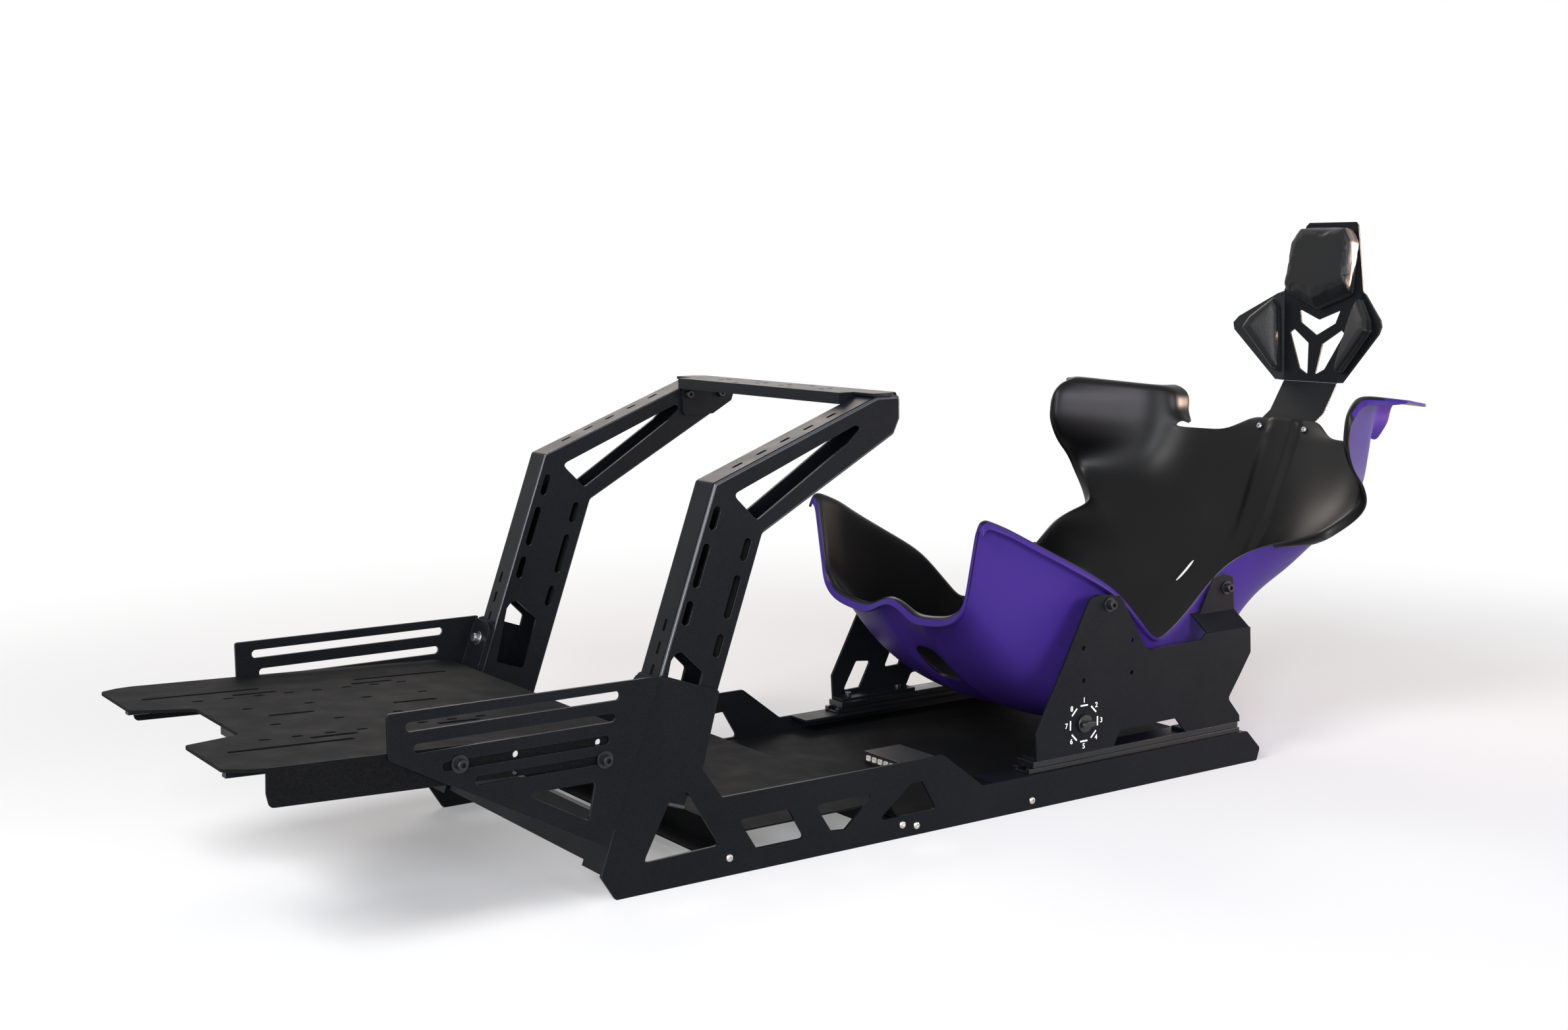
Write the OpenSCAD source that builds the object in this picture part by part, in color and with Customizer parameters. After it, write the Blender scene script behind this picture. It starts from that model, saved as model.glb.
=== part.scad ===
// Sim racing cockpit: folded sheet-steel chassis with a pedal tray, leaning wheel uprights,
// and a moulded bucket seat with a headrest on a slide. Millimetres; +X is towards the seat back,
// -Y is the driver's left, z = 0 is the underside of the chassis.

/* [Chassis] */
// Width over the two side plates
chassis_w = 500; // [440:5:560]
// Thickness of the side plates, brackets and uprights
plate_t = 4; // [3:0.5:5]
// Thickness of the floor and deck sheets
sheet_t = 3; // [2:0.5:4]
// Front foot of the side plate, along X
foot_x = -521; // [-540:1:-500]
// Height of the chamfer at the front foot
foot_z = 32; // [20:1:45]
// Lean of the tower and the upright, from vertical
lean = 19.75; // [15:0.25:24]
// Length of the tower's front edge
tower_len = 254; // [230:1:290]
// Depth of the tower and the upright, square to their front edge
tower_d = 93; // [85:1:100]
// Width of the flange folded inward at the tower's front
tower_flange = 50; // [45:1:54]
// Height of the low wall between the tower and the seat
wall_z = 103; // [95:1:115]
// Height of the side plate beside the seat
rail_z = 49; // [45:1:55]
// Rear end of the side plates, along X
tail_x = 632; // [610:1:660]
// Width of the ledge that carries the slide rails
ledge_w = 45; // [42:1:60]

/* [Floor] */
// Height of the front floor panel
bridge_z = 55; // [50:1:60]
// Front edge of the front floor panel
bridge_x = -325; // [-340:1:-310]
// Rear edge of the front floor panel
bridge_end = -80; // [-95:1:-70]
// Height of the rear floor pan
pan_z = 27; // [20:1:35]
// Rear edge of the rear floor pan
pan_end = 598; // [560:1:605]

/* [Uprights] */
// Length from the tower's foot corner to the bend of the arm, along the lean
bend_u = 497; // [470:1:520]
// Rise of the arm's top edge
arm_rise = 20.7; // [18:0.1:24]
// Rise of the arm's underside
arm_under = 28.6; // [25:0.1:32]
// Width of the upright box
upright_w = 45; // [40:1:50]
// Rear face of the arm, along X
arm_end = -61; // [-80:1:-45]
// Height of the seat of the wheel deck
deck_z = 593; // [570:1:620]
// Length of the wheel deck, along X
deck_d = 66; // [60:1:80]
// Width of the slots in the uprights
upright_slot = 10.5; // [8:0.5:12]

/* [Pedal tray] */
// Nose-up tilt of the tray
tray_tilt = 2.16; // [0:0.1:6]
// Height of the tray's top at its rear edge
tray_z = 215.5; // [200:0.5:225]
// Rear edge of the tray
tray_end = -490; // [-500:1:-480]
// Length of the tray with its prongs
tray_len = 480; // [440:1:500]
// Depth of the tray's side flanges
tray_flange = 45; // [40:1:50]
// Half the width of the notch between the prongs
notch_w = 80; // [60:1:90]
// Length of the notch between the prongs
notch_len = 72; // [50:1:90]
// Depth of the ribs under the tray
rib_d = 18; // [12:1:22]
// Front edge of the tray brackets
bracket_nose = -789; // [-810:1:-760]
// Height of the tray brackets' top edge
bracket_z = 272; // [262:1:280]
// Width of the slots in the tray brackets
bracket_slot = 11; // [9:0.5:12]

/* [Seat slide] */
// Front end of the slide rails
rail_x = 166; // [150:1:180]
// Length of the slide rails
rail_len = 424; // [400:1:430]
// Width of the slide rails
rail_w = 36; // [30:1:38]
// Height of the rail and its carriage together
rail_h = 17; // [14:0.5:20]
// Half the width over the seat brackets
bracket_y = 247; // [240:1:249]
// Running clearance between rail and carriage
slide_gap = 0.4; // [0.3:0.1:1]
// Centre of the dial, along X
dial_x = 268; // [262:1:276]
// Height of the dial's centre
dial_z = 109; // [104:1:116]
// Radius of the dial knob
dial_r = 13; // [10:0.5:16]

/* [Seat shell] */
// Thickness of the moulded shell
shell_t = 4; // [3:0.5:6]
// Height of the hump between the legs
hump_h = 23; // [10:1:30]
// Half the width of the hump between the legs
hump_w = 64; // [50:1:75]
// Half the width of the tab that carries the headrest
tab_w = 75; // [66:1:80]
// Height of the top of that tab
tab_z = 489; // [482:1:500]
// Width of the rolled lip round the thighs and hips
lip_w = 15; // [8:1:20]
// Width of the flange on top of the shoulders
shoulder_flange = 50; // [36:1:56]

/* [Headrest] */
// Foot of the headrest plate, along X
rest_x = 1015; // [1005:1:1025]
// Height of the headrest plate's foot
rest_z = 553; // [545:1:565]
// Backward lean of the headrest plate
rest_lean = 9.8; // [5:0.1:15]
// Height of the headrest plate, along its lean
rest_h = 274; // [255:1:290]
// Half the width across the headrest's wings
wing_w = 168; // [155:1:175]
// Forward fold of the wings
wing_fold = 22; // [15:1:30]
// Half the width of the strap that holds the headrest
neck_w = 58; // [50:1:62]
// Thickness of the headrest's sheet
rest_t = 3; // [2:0.5:4]
// Thickness of the headrest's cushion
pad_t = 28; // [20:1:34]

/* [Hidden] */
$fn = 32;

half_w = chassis_w / 2;
inner_y = half_w - plate_t;
// Gap left between two parts that touch, such as the shell and its strap
seat_gap = 0.3;
steel = "#1c1d20";
floor_black = "#202124";

function unit(v) = v / norm(v);
function cross2(a, b) = a[0] * b[1] - a[1] * b[0];

// Point on the tower's own axes: u up along the lean, v rearward and square to it
up_dir = [sin(lean), cos(lean)];
back_dir = [cos(lean), -sin(lean)];
foot = [foot_x, foot_z];
function on_lean(u, v) = foot + u * up_dir + v * back_dir;

// Where two lines cross, each given by a point and a direction
function meet(p, d, q, e) = p + d * cross2(q - p, e) / cross2(d, e);

// Outline with every corner rounded; r is one radius or a list with one for each corner
round_steps = 4;
function bezier2(a, b, c, t) = (1 - t) * (1 - t) * a + 2 * t * (1 - t) * b + t * t * c;
function corner(a, p, b, r) =
    let(
        u = unit(a - p),
        w = unit(b - p),
        half = acos(max(-1, min(1, u * w))) / 2,
        t = min(r / tan(half), 0.48 * norm(a - p), 0.48 * norm(b - p))
    )
    r < 0.01 ? [p] : [for (k = [0:round_steps]) bezier2(p + u * t, p, p + w * t, k / round_steps)];
function rounded(pts, r) =
    let(n = len(pts))
    [for (i = [0:n - 1]) each corner(pts[(i + n - 1) % n], pts[i], pts[(i + 1) % n], is_list(r) ? r[i] : r)];

// Outline moved inward by t along every edge; the points run clockwise seen with x right and z up
function edge_normal(a, b) = let(d = unit(b - a)) [d[1], -d[0]];
function inset(pts, t) =
    let(n = len(pts))
    [for (i = [0:n - 1])
        let(
            a = pts[(i + n - 1) % n],
            p = pts[i],
            b = pts[(i + 1) % n],
            na = edge_normal(a, p),
            nb = edge_normal(p, b)
        )
        meet(p + na * t, p - a, p + nb * t, b - p)];

// Upright plate: an outline in x and z, from y0 to y1
module plate(pts, y0, y1) {
    translate([0, y1, 0]) rotate([90, 0, 0]) linear_extrude(y1 - y0) polygon(pts);
}

// Slot in an upright plate, from point a to point b (its end centres)
module slot_xz(a, b, w, y0, y1) {
    d = b - a;
    translate([a[0], 0, a[1]]) rotate([0, -atan2(d[1], d[0]), 0]) {
        translate([0, y0, -w / 2]) cube([norm(d), y1 - y0, w]);
        for (x = [0, norm(d)])
            translate([x, y1, 0]) rotate([90, 0, 0]) cylinder(d = w, h = y1 - y0);
    }
}

// Slot in a flat sheet, along x from x0 to x1 at width w
module slot_x(x0, x1, y, w, z0, z1) {
    translate([x0 + w / 2, y - w / 2, z0]) cube([x1 - x0 - w, w, z1 - z0]);
    for (x = [x0 + w / 2, x1 - w / 2]) translate([x, y, z0]) cylinder(d = w, h = z1 - z0);
}

module left() {
    mirror([0, 1, 0]) children();
}

// Every node is drawn with the middle of its length at x = 0
front_x = tray_end - tray_len * cos(tray_tilt) - plate_t * sin(tray_tilt);
rear_x = rest_x + rest_h * sin(rest_lean) + rest_t * cos(rest_lean);
mid_x = (front_x + rear_x) / 2;
module centred() {
    translate([-mid_x, 0, 0]) children();
}

// Chassis

tower_top = on_lean(tower_len, 0);
tower_rear = on_lean(tower_len, tower_d);
// Corners of the relief between the tower and the low wall
relief_in = [tower_rear[0] - 27, tower_rear[1] - 96];
relief_out = [relief_in[0] + 28, wall_z];
// Where the low wall slopes down to the rail, along X, and the height of the tail's point
slope_x = 9;
slope_end = 78;
tail_low = 19;

side_outline = [
    foot, tower_top, tower_rear, relief_in, relief_out, [slope_x, wall_z], [slope_end, rail_z],
    [tail_x - 29, rail_z], [tail_x, tail_low], [tail_x - 7, 0], [foot_x + 20, 0]
];
side_corner_r = [3, 10, 6, 4, 3, 8, 4, 6, 6, 4, 6];
// Openings cut through the low wall, each a list of corners in x and z
windows = [
    [[-420, 116], [-398, 119], [-351, 42], [-462, 39]],
    [[-322, 70], [-246, 71], [-221, 28], [-296, 28]],
    [[-204, 69], [-108, 70], [-156, 28], [-179, 30]],
    [[-103, 30], [-47, 72], [-28, 73], [-3, 30]]
];
window_r = 5;
// Screws that hold the floor's flanges to the side plates
screw_points = [[-337, 23], [-62, 18], [-38, 13], [168, 13]];
screw_d = 6.5;
// Front end of the ledge under the slide rails
ledge_x = 100;

module side_plate() {
    color(steel) difference() {
        union() {
            plate(rounded(side_outline, side_corner_r), inner_y, half_w);
            // Flange folded inward along the tower's front edge
            lean_flange(3, tower_len - 3, 0, half_w - plate_t / 2, 12);
            // Ledge under the slide rail
            translate([ledge_x, half_w - ledge_w, rail_z - plate_t])
                cube([tail_x - 33 - ledge_x, ledge_w - plate_t / 2, plate_t]);
        }
        for (w = windows) plate(rounded(w, window_r), inner_y - 1, half_w + 1);
        for (p = screw_points)
            translate([p[0], half_w + 1, p[1]]) rotate([90, 0, 0]) cylinder(d = screw_d, h = plate_t + 2);
    }
}

// Flange from u0 to u1 along the lean, its face at v, reaching inward from y1, with one rounded top corner
module lean_flange(u0, u1, v, y1, r) {
    y0 = half_w - tower_flange;
    o = on_lean(0, v);
    translate([o[0], 0, o[1]]) rotate([0, lean, 0]) rotate([90, 0, 90]) linear_extrude(plate_t)
        polygon(rounded([[y0, u0], [y1, u0], [y1, u1], [y0, u1]], [0, 0, 0, r]));
}

// Plate between the feet of the towers, with its ends folded back against them
// Heights of its top and low edges
cross_top = 96;
cross_low = 41;
module front_crossmember() {
    y = half_w - tower_flange;
    u0 = (cross_low - foot_z) / cos(lean);
    u1 = (cross_top - foot_z) / cos(lean);
    color(steel) union() {
        plate([on_lean(u0, plate_t), on_lean(u1, plate_t), on_lean(u1, 2 * plate_t), on_lean(u0, 2 * plate_t)],
            -inner_y + seat_gap, inner_y - seat_gap);
        // Stiffening lip along the top edge
        plate([on_lean(u1 - plate_t, plate_t), on_lean(u1, plate_t), on_lean(u1, 25), on_lean(u1 - plate_t, 25)],
            -y, y);
    }
}

// Raised front panel of the floor: top, front flange and side flanges
module floor_panel_front() {
    y = inner_y;
    color(floor_black) difference() {
        union() {
            plate([[bridge_x, bridge_z], [bridge_end, bridge_z], [bridge_end + 16, pan_z + sheet_t],
                [bridge_end + 13, pan_z + sheet_t - 2], [bridge_end - 2, bridge_z - sheet_t],
                [bridge_x + sheet_t, bridge_z - sheet_t], [bridge_x + sheet_t, 17], [bridge_x, 17]], -y, y);
            // Foot flange of the front face, and the tabs that the screws hold
            translate([bridge_x - 25, -y, 17]) cube([25 + sheet_t, 2 * y, sheet_t]);
            for (s = [0, 1]) mirror([0, s, 0])
                translate([bridge_x - 25, y - sheet_t, 8]) cube([26, sheet_t, 30]);
        }
        for (s = [-1, 1])
            translate([screw_points[0][0], s * (y + 1), screw_points[0][1]])
                rotate([s * 90, 0, 0]) cylinder(d = screw_d, h = sheet_t + 2);
    }
}

// Channel across the chassis under the joint of the two floor panels
module mid_crossmember() {
    y = inner_y;
    color(steel) difference() {
        union() {
            translate([-70, -y, 3]) cube([44, 2 * y, sheet_t]);
            for (x = [-70, -26 - sheet_t]) translate([x, -y, 3]) cube([sheet_t, 2 * y, pan_z - sheet_t - 3]);
            for (s = [0, 1]) mirror([0, s, 0]) translate([-70, y - sheet_t, 3]) cube([44, sheet_t, 21]);
        }
        for (p = [screw_points[1], screw_points[2]], s = [-1, 1])
            translate([p[0], s * (y + 1), p[1]]) rotate([s * 90, 0, 0]) cylinder(d = screw_d, h = sheet_t + 2);
    }
}

// Rear floor pan, its edges folded down
module floor_pan_rear() {
    y = inner_y;
    x0 = bridge_end + 12;
    color(floor_black) difference() {
        union() {
            translate([x0, -y, pan_z - sheet_t]) cube([pan_end - x0, 2 * y, sheet_t]);
            translate([pan_end - sheet_t, -y, 6]) cube([sheet_t, 2 * y, pan_z - 6]);
            for (s = [0, 1]) mirror([0, s, 0])
                translate([0, y - sheet_t, 6]) cube([pan_end, sheet_t, pan_z - 6]);
        }
        for (s = [-1, 1])
            translate([screw_points[3][0], s * (y + 1), screw_points[3][1]])
                rotate([s * 90, 0, 0]) cylinder(d = screw_d, h = sheet_t + 2);
    }
}

// Channel across the chassis under the rear of the pan
rear_cross_x = 420;
rear_cross_w = 50;
module rear_crossmember() {
    y = inner_y - sheet_t;
    color(steel) translate([rear_cross_x, -y, 3]) union() {
        cube([rear_cross_w, 2 * y, sheet_t]);
        for (x = [0, rear_cross_w - sheet_t]) translate([x, 0, 0]) cube([sheet_t, 2 * y, pan_z - sheet_t - 3]);
    }
}

// Small control box on the rear pan
box_x = 70;
box_y = -84;
module control_box() {
    color("#141416") translate([box_x, box_y, pan_z]) difference() {
        cube([66, 96, 18]);
        for (k = [0:5]) translate([-1, 10 + 14 * k, 5]) cube([9, 9, 8]);
    }
}

// Uprights

arm_dir = [cos(arm_rise), sin(arm_rise)];
under_dir = [cos(arm_under), sin(arm_under)];
bend = on_lean(bend_u, plate_t);
arm_flat = meet(bend, arm_dir, [0, deck_z], [1, 0]);
arm_low = [arm_end - 10, deck_z - 50.5];
// Foot of the upright inside the tower, along the lean
upright_low = 100;
upright_outline = [
    on_lean(upright_low, plate_t), bend, arm_flat, [arm_end, deck_z], [arm_end, deck_z - 30], arm_low,
    meet(arm_low, under_dir, on_lean(0, plate_t + tower_d - 3), up_dir), on_lean(upright_low, plate_t + tower_d - 3)
];
upright_r = [0, 6, 5, 5, 4, 4, 8, 0];
web_y = inner_y - upright_w;

// Slots in rows along the lean: distances below the bend of each end
front_slots = [[25, 56], [73, 130], [146, 178]];
rear_slots = [[51, 81], [99, 156], [175, 205]];
// Distance of each row from the front face, square to the lean
front_row = 18.5;
rear_row = 75;

module upright_holes(y0, y1) {
    r = upright_slot / 2;
    for (s = front_slots)
        slot_xz(on_lean(bend_u - s[0] - r, front_row), on_lean(bend_u - s[1] + r, front_row), upright_slot, y0, y1);
    for (s = rear_slots)
        slot_xz(on_lean(bend_u - s[0] - r, rear_row), on_lean(bend_u - s[1] + r, rear_row), upright_slot, y0, y1);
    // Long window in the arm
    tip = bend + [224, 56];
    low = bend + [62, -51];
    plate(rounded([bend + [27, -16], low, low + [141, 88], tip, tip + [-9, 4]], [6, 6, 5, 4, 5]), y0, y1);
    // Opening beside the tower's mouth
    plate(rounded([on_lean(284, 18), on_lean(288, 26), on_lean(270, 64), on_lean(198, 67), on_lean(197, 22),
        on_lean(274, 14)], 5), y0, y1);
}

module upright_channel() {
    color(steel) difference() {
        plate(rounded(upright_outline, upright_r), web_y, inner_y - plate_t);
        plate(rounded(inset(upright_outline, plate_t), upright_r), web_y + plate_t, inner_y);
        upright_holes(web_y - 1, web_y + plate_t + 1);
        // Oblong holes in the arm's top flange and in the front flange
        for (k = [0:4]) flange_hole(bend + arm_dir * (50 + 38.6 * k), arm_rise);
        for (k = [0:2]) flange_hole(on_lean(bend_u - 183 - 29 * k, plate_t), 90 - lean);
    }
}

// Oblong hole through a flange that rises at the given angle
module flange_hole(p, angle) {
    translate([p[0], web_y + upright_w / 2 + 2, p[1]]) rotate([0, -angle, 0]) {
        translate([-5, -3, -plate_t - 1]) cube([10, 6, plate_t + 2]);
        for (x = [-5, 5]) translate([x, 0, -plate_t - 1]) cylinder(d = 6, h = plate_t + 2);
    }
}

module upright_cover() {
    color(steel) difference() {
        plate(rounded(inset(upright_outline, 1), upright_r), inner_y - plate_t, inner_y);
        upright_holes(inner_y - plate_t - 1, inner_y + 1);
    }
}

// Front edge of the deck, half its width over the arms, and the cut-back of its front corners there
deck_x = arm_end - 1 - deck_d;
deck_half = inner_y - 2;
deck_step = 24;
deck_chamfer = 14;
deck_lip = 11;
// Rows of holes in the deck, counted from its front edge
deck_hole_x = [10, 26, 40, 50];
module wheel_deck() {
    y = web_y - seat_gap;
    color(steel) difference() {
        union() {
            translate([deck_x, 0, deck_z]) linear_extrude(plate_t)
                polygon([[0, -y], [deck_step, -y], [deck_step, -deck_half], [deck_d - deck_chamfer, -deck_half],
                    [deck_d, -deck_half + deck_chamfer], [deck_d, deck_half - deck_chamfer],
                    [deck_d - deck_chamfer, deck_half], [deck_step, deck_half], [deck_step, y], [0, y]]);
            // Lip turned down at the front, and ears bolted to the uprights' inner faces
            translate([deck_x, -y, deck_z - deck_lip]) cube([plate_t, 2 * y, deck_lip + 1]);
            for (s = [0, 1]) mirror([0, s, 0]) plate(rounded([[deck_x + plate_t, deck_z + 1],
                [arm_end + 28, deck_z + 1], [arm_end + 28, deck_z - 17], [arm_end + 23, deck_z - 32], arm_low,
                [deck_x + 6, arm_low[1]]], [0, 5, 5, 5, 4, 6]), y - plate_t, y);
        }
        for (x = [deck_hole_x[0], deck_hole_x[3]], y0 = [-66, 66])
            slot_x(deck_x + x - 2, deck_x + x + 8, y0, 6.5, deck_z - 1, deck_z + plate_t + 1);
        for (x = [deck_hole_x[1], deck_hole_x[2]], y0 = [-125, -30, 30, 125])
            translate([deck_x + x, y0, deck_z - 1]) cylinder(d = 8.5, h = plate_t + 2);
    }
}

// Pedal tray

module tray_bracket() {
    rear_top = on_lean((bracket_z - 2 - foot_z) / cos(lean), 0);
    rear_low = on_lean((69 - foot_z) / cos(lean), 0);
    outline = [[bracket_nose, bracket_z], rear_top, rear_low + [-6, 0], [bracket_nose + 14, 212], [bracket_nose, 220]];
    slots = [[254, 22, 297], [228, 31, 290], [202, 65, 281], [179, 105, 280]];
    color(steel) difference() {
        union() {
            plate(rounded(outline, [4, 3, 6, 8, 8]), half_w, half_w + plate_t);
            // Rear flange folded inward over the tower's front
            lean_flange(60, tower_len - 5, -plate_t, half_w + plate_t / 2, 20);
        }
        for (s = slots)
            slot_xz([bracket_nose + s[1] + bracket_slot / 2, s[0]], [bracket_nose + s[2] - bracket_slot / 2, s[0]],
                bracket_slot, half_w - 1, half_w + plate_t + 1);
        plate(rounded([[-621, 153], [-527, 153], [-537, 106]], 5), half_w - 1, half_w + plate_t + 1);
    }
}

// The tray lies flat here, its rear edge at x = 0 and its top at z = 0
module on_tray() {
    translate([tray_end, 0, tray_z]) rotate([0, tray_tilt, 0]) children();
}
tray_slots = [
    [0, -345, -287], [0, -185, -125], [135, -344, -286], [135, -186, -129], [161, -450, -300], [160, -173, -39]
];
small_slot_x = [-393, -354, -314, -275, -238, -198, -160, -122];
prong_in = 105;
prong_out = 232;

module tray_slot(s) {
    slot_x(s[1], s[2], s[0], 8, -plate_t - 1, 1);
    if (s[0] != 0) mirror([0, 1, 0]) slot_x(s[1], s[2], s[0], 8, -plate_t - 1, 1);
}

module pedal_tray() {
    edge = -tray_len + 43;
    color("#26272b") on_tray() difference() {
        union() {
            translate([0, 0, -plate_t]) linear_extrude(plate_t) polygon(rounded([
                [0, -half_w + 12], [0, half_w - 12], [-12, half_w], [edge, half_w], [edge - 21, half_w - 5],
                [-tray_len, prong_out], [-tray_len, prong_in], [-tray_len + notch_len, notch_w],
                [-tray_len + notch_len, -notch_w], [-tray_len, -prong_in], [-tray_len, -prong_out],
                [edge - 21, -half_w + 5], [edge, -half_w], [-12, -half_w]
            ], [0, 0, 3, 3, 4, 8, 8, 10, 10, 8, 8, 4, 3, 3]));
            for (s = [0, 1]) mirror([0, s, 0]) plate(rounded([[edge, -1], [-12, -1], [-12, -tray_flange],
                [edge + 4, -tray_flange], [edge, -tray_flange + 16]], [0, 0, 4, 6, 8]), inner_y, half_w);
        }
        for (s = tray_slots) tray_slot(s);
        for (x = small_slot_x, y = [-120, 120]) slot_x(x - 7, x + 7, y, 6.5, -plate_t - 1, 1);
        for (x = [-354, -275, -199, -123], y = [-49, 49]) slot_x(x - 7, x + 7, y, 6.5, -plate_t - 1, 1);
        for (p = concat(bolt_points, spare_holes), y = [-1, 1])
            translate([p[0], y * (half_w + 1), p[1]]) rotate([y * 90, 0, 0]) cylinder(d = 8.5, h = plate_t + 2);
    }
}

// Stiffening angles under the tray: one long one on each side and a short one behind the notch
rib_y = half_w - 60;
rib_front = 18;
rib_len = tray_len - 60;
rib_foot = 12;
module tray_ribs() {
    color(steel) on_tray() {
        for (s = [0, 1]) mirror([0, s, 0]) translate([-tray_len + rib_front, rib_y - plate_t, -plate_t - rib_d]) {
            cube([rib_len, plate_t, rib_d]);
            translate([0, plate_t - rib_foot, 0]) cube([rib_len, rib_foot, plate_t]);
        }
        translate([-tray_len + notch_len + rib_foot, -2 * rib_foot, -plate_t - rib_d])
            cube([plate_t, 4 * rib_foot, rib_d]);
    }
}

// Cap bolts with washers through the brackets' slots and the tray's side flanges; points on the tray
bolt_points = [[-212, -21], [-23, -38]];
spare_holes = [[-139, -19], [-139, -40], [-30, -17]];
module tray_bolts() {
    color("#2a2b2e") on_tray() for (y = [0, 1], p = bolt_points) mirror([0, y, 0])
        translate([p[0], half_w + plate_t, p[1]]) rotate([-90, 0, 0]) {
            cylinder(r = 10, h = 2);
            cylinder(r = 6.5, h = 10);
            translate([0, 0, -2 * plate_t - 8]) cylinder(r = 4, h = 2 * plate_t + 9);
        }
}

// Seat slide

rail_y = inner_y - rail_w;
carriage_z = rail_z + 8;
module slide_rail() {
    color("#141517") difference() {
        translate([rail_x, rail_y, rail_z]) cube([rail_len, rail_w, 8 - slide_gap]);
        translate([rail_x - 1, rail_y + 8, rail_z + 3]) cube([rail_len + 2, rail_w - 16, 8]);
    }
}

// Upper rail: a cap over the lower one, with a tongue that runs in its groove
module slide_carriage() {
    tongue = 8;
    color("#141517") union() {
        translate([rail_x + 8, rail_y, carriage_z]) cube([rail_len - 12, rail_w, rail_h - 8]);
        translate([rail_x + 8, rail_y + 8 + slide_gap, carriage_z - 3])
            cube([rail_len - 12, tongue, 4]);
        translate([rail_x + 8, rail_y + rail_w - 8 - tongue - slide_gap, carriage_z - 3])
            cube([rail_len - 12, tongue, 4]);
    }
}

seat_z = rail_z + rail_h;
// Outer face of the bracket's rear tab, which steps inward
joggle_y = 214;
seat_outline = [
    [180, seat_z], [178, 104], [278, 288], [299, 292], [335, 286], [342, 279], [390, 200], [505, 202], [512, 210],
    [608, 210], [610, 171], [585, 135], [563, 105], [588, 76], [589, seat_z], [474, seat_z], [453, 90],
    [339, 89], [327, seat_z]
];
seat_r = [0, 6, 8, 6, 6, 6, 14, 8, 4, 0, 6, 12, 8, 6, 0, 0, 8, 8, 0];
front_bolt = [315, 276];
rear_bolt = [590, 268];
far_windows = [
    [[226, 122], [255, 119], [233, 78], [200, 77]],
    [[304, 147], [333, 147], [313, 106], [283, 105]]
];
spare_points = [[266, 218], [267, 171], [360, 219], [361, 171]];

// Bracket between the slide and the shell: plate, foot flange and a tab that steps inward at the rear.
// The dial's bracket has a bore for its spindle, and the other one has the far windows instead
module seat_bracket(dial) {
    y0 = bracket_y - plate_t;
    color(steel) difference() {
        union() {
            plate(rounded(seat_outline, seat_r), y0, bracket_y);
            for (x = [[180, 327], [474, 589]])
                translate([x[0], bracket_y - 30, seat_z]) cube([x[1] - x[0], 28, plate_t]);
            // Joggle from the plate to the inner tab
            multmatrix([[1, 0, 0, 0], [0, 1, (joggle_y - bracket_y) / 24, bracket_y - plate_t], [0, 0, 1, 209], [0, 0, 0, 1]])
                translate([518, 0, 0]) cube([89, plate_t, 25.5]);
            plate(rounded([[533, 232], [564, 286], [581, 289], [603, 284], [607, 232]], [0, 8, 6, 6, 0]),
                joggle_y - plate_t, joggle_y);
        }
        for (p = spare_points)
            translate([p[0], bracket_y + 1, p[1]]) rotate([90, 0, 0]) cylinder(d = 7, h = plate_t + 2);
        if (dial)
            translate([dial_x, bracket_y + 1, dial_z]) rotate([90, 0, 0]) cylinder(d = 8.4, h = plate_t + 2);
        else
            for (w = far_windows) plate(rounded(w, 4), y0 - 1, bracket_y + 1);
    }
}

// Spacers between the brackets and the shell, with the heads of their bolts
front_spacer = 22.9;
rear_spacer = 6;
module seat_spacers() {
    color("#101113") for (s = [0, 1]) mirror([0, s, 0]) {
        spacer([front_bolt[0], bracket_y, front_bolt[1]], front_spacer);
        spacer([rear_bolt[0], joggle_y, rear_bolt[1]], rear_spacer);
    }
}
module spacer(at, length) {
    translate(at) rotate([90, 0, 0]) {
        translate([0, 0, plate_t]) cylinder(r = 11, h = length);
        translate([0, 0, -6]) cylinder(r = 7, h = 6);
    }
}

// Knob with a grip bar, on a spindle through the left bracket
module dial_knob() {
    color("#0e0f11") left() translate([dial_x, bracket_y, dial_z]) rotate([-90, 0, 0]) {
        translate([0, 0, 0.5]) cylinder(r = dial_r, h = 4);
        translate([0, 0, 4]) intersection() {
            cylinder(r = dial_r, h = 9);
            translate([-dial_r, -4.5, 0]) cube([2 * dial_r, 9, 9]);
        }
        translate([0, 0, -plate_t - 8]) cylinder(r = 4.15, h = plate_t + 9);
    }
}

// Seat shell: a loft through cross sections. Each section runs from the middle of the shell to a
// corner and on to the rim, and is written as
// [middle x, middle z, corner y, corner x, corner z, rim y, rim x, rim z]
sections = [
    [118, 250, 165, 118, 262, 197, 120, 408],
    [150, 205, 172, 152, 222, 199, 160, 392],
    [200, 150, 180, 200, 168, 209, 203, 368],
    [262, 104, 188, 262, 121, 220, 277, 329],
    [330, 75, 193, 332, 88, 223, 347, 288],
    [400, 60, 196, 400, 68, 222, 402, 230],
    [470, 58, 198, 465, 64, 221, 440, 203],
    [540, 72, 197, 530, 80, 208.5, 515, 236],
    [620, 100, 186, 603, 128, 204, 582, 287],
    [690, 142, 168, 668, 192, 218, 637, 318],
    [752, 186, 160, 720, 232, 238, 700, 331],
    [808, 224, 162, 770, 260, 252, 745, 340],
    [849, 262, 170, 808, 294, 270, 762, 355],
    [883, 312, 191, 846, 334, 296, 774, 378],
    [905, 360, 210, 875, 370, 314, 774, 402],
    [924, 404, 220, 897, 408, 320, 760, 430],
    [940, 440, 225, 909, 440, 320, 737, 455],
    [951, 466, 227, 917, 466, 320, 723, 485],
    [957, 489, 230, 920, 490, 320, 723, 509],
    [962, 512, 232, 922, 514, 320, 728, 534],
    [966, 532, 233, 924, 534, 321, 745, 558]
];
sub_steps = 2;
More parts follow.
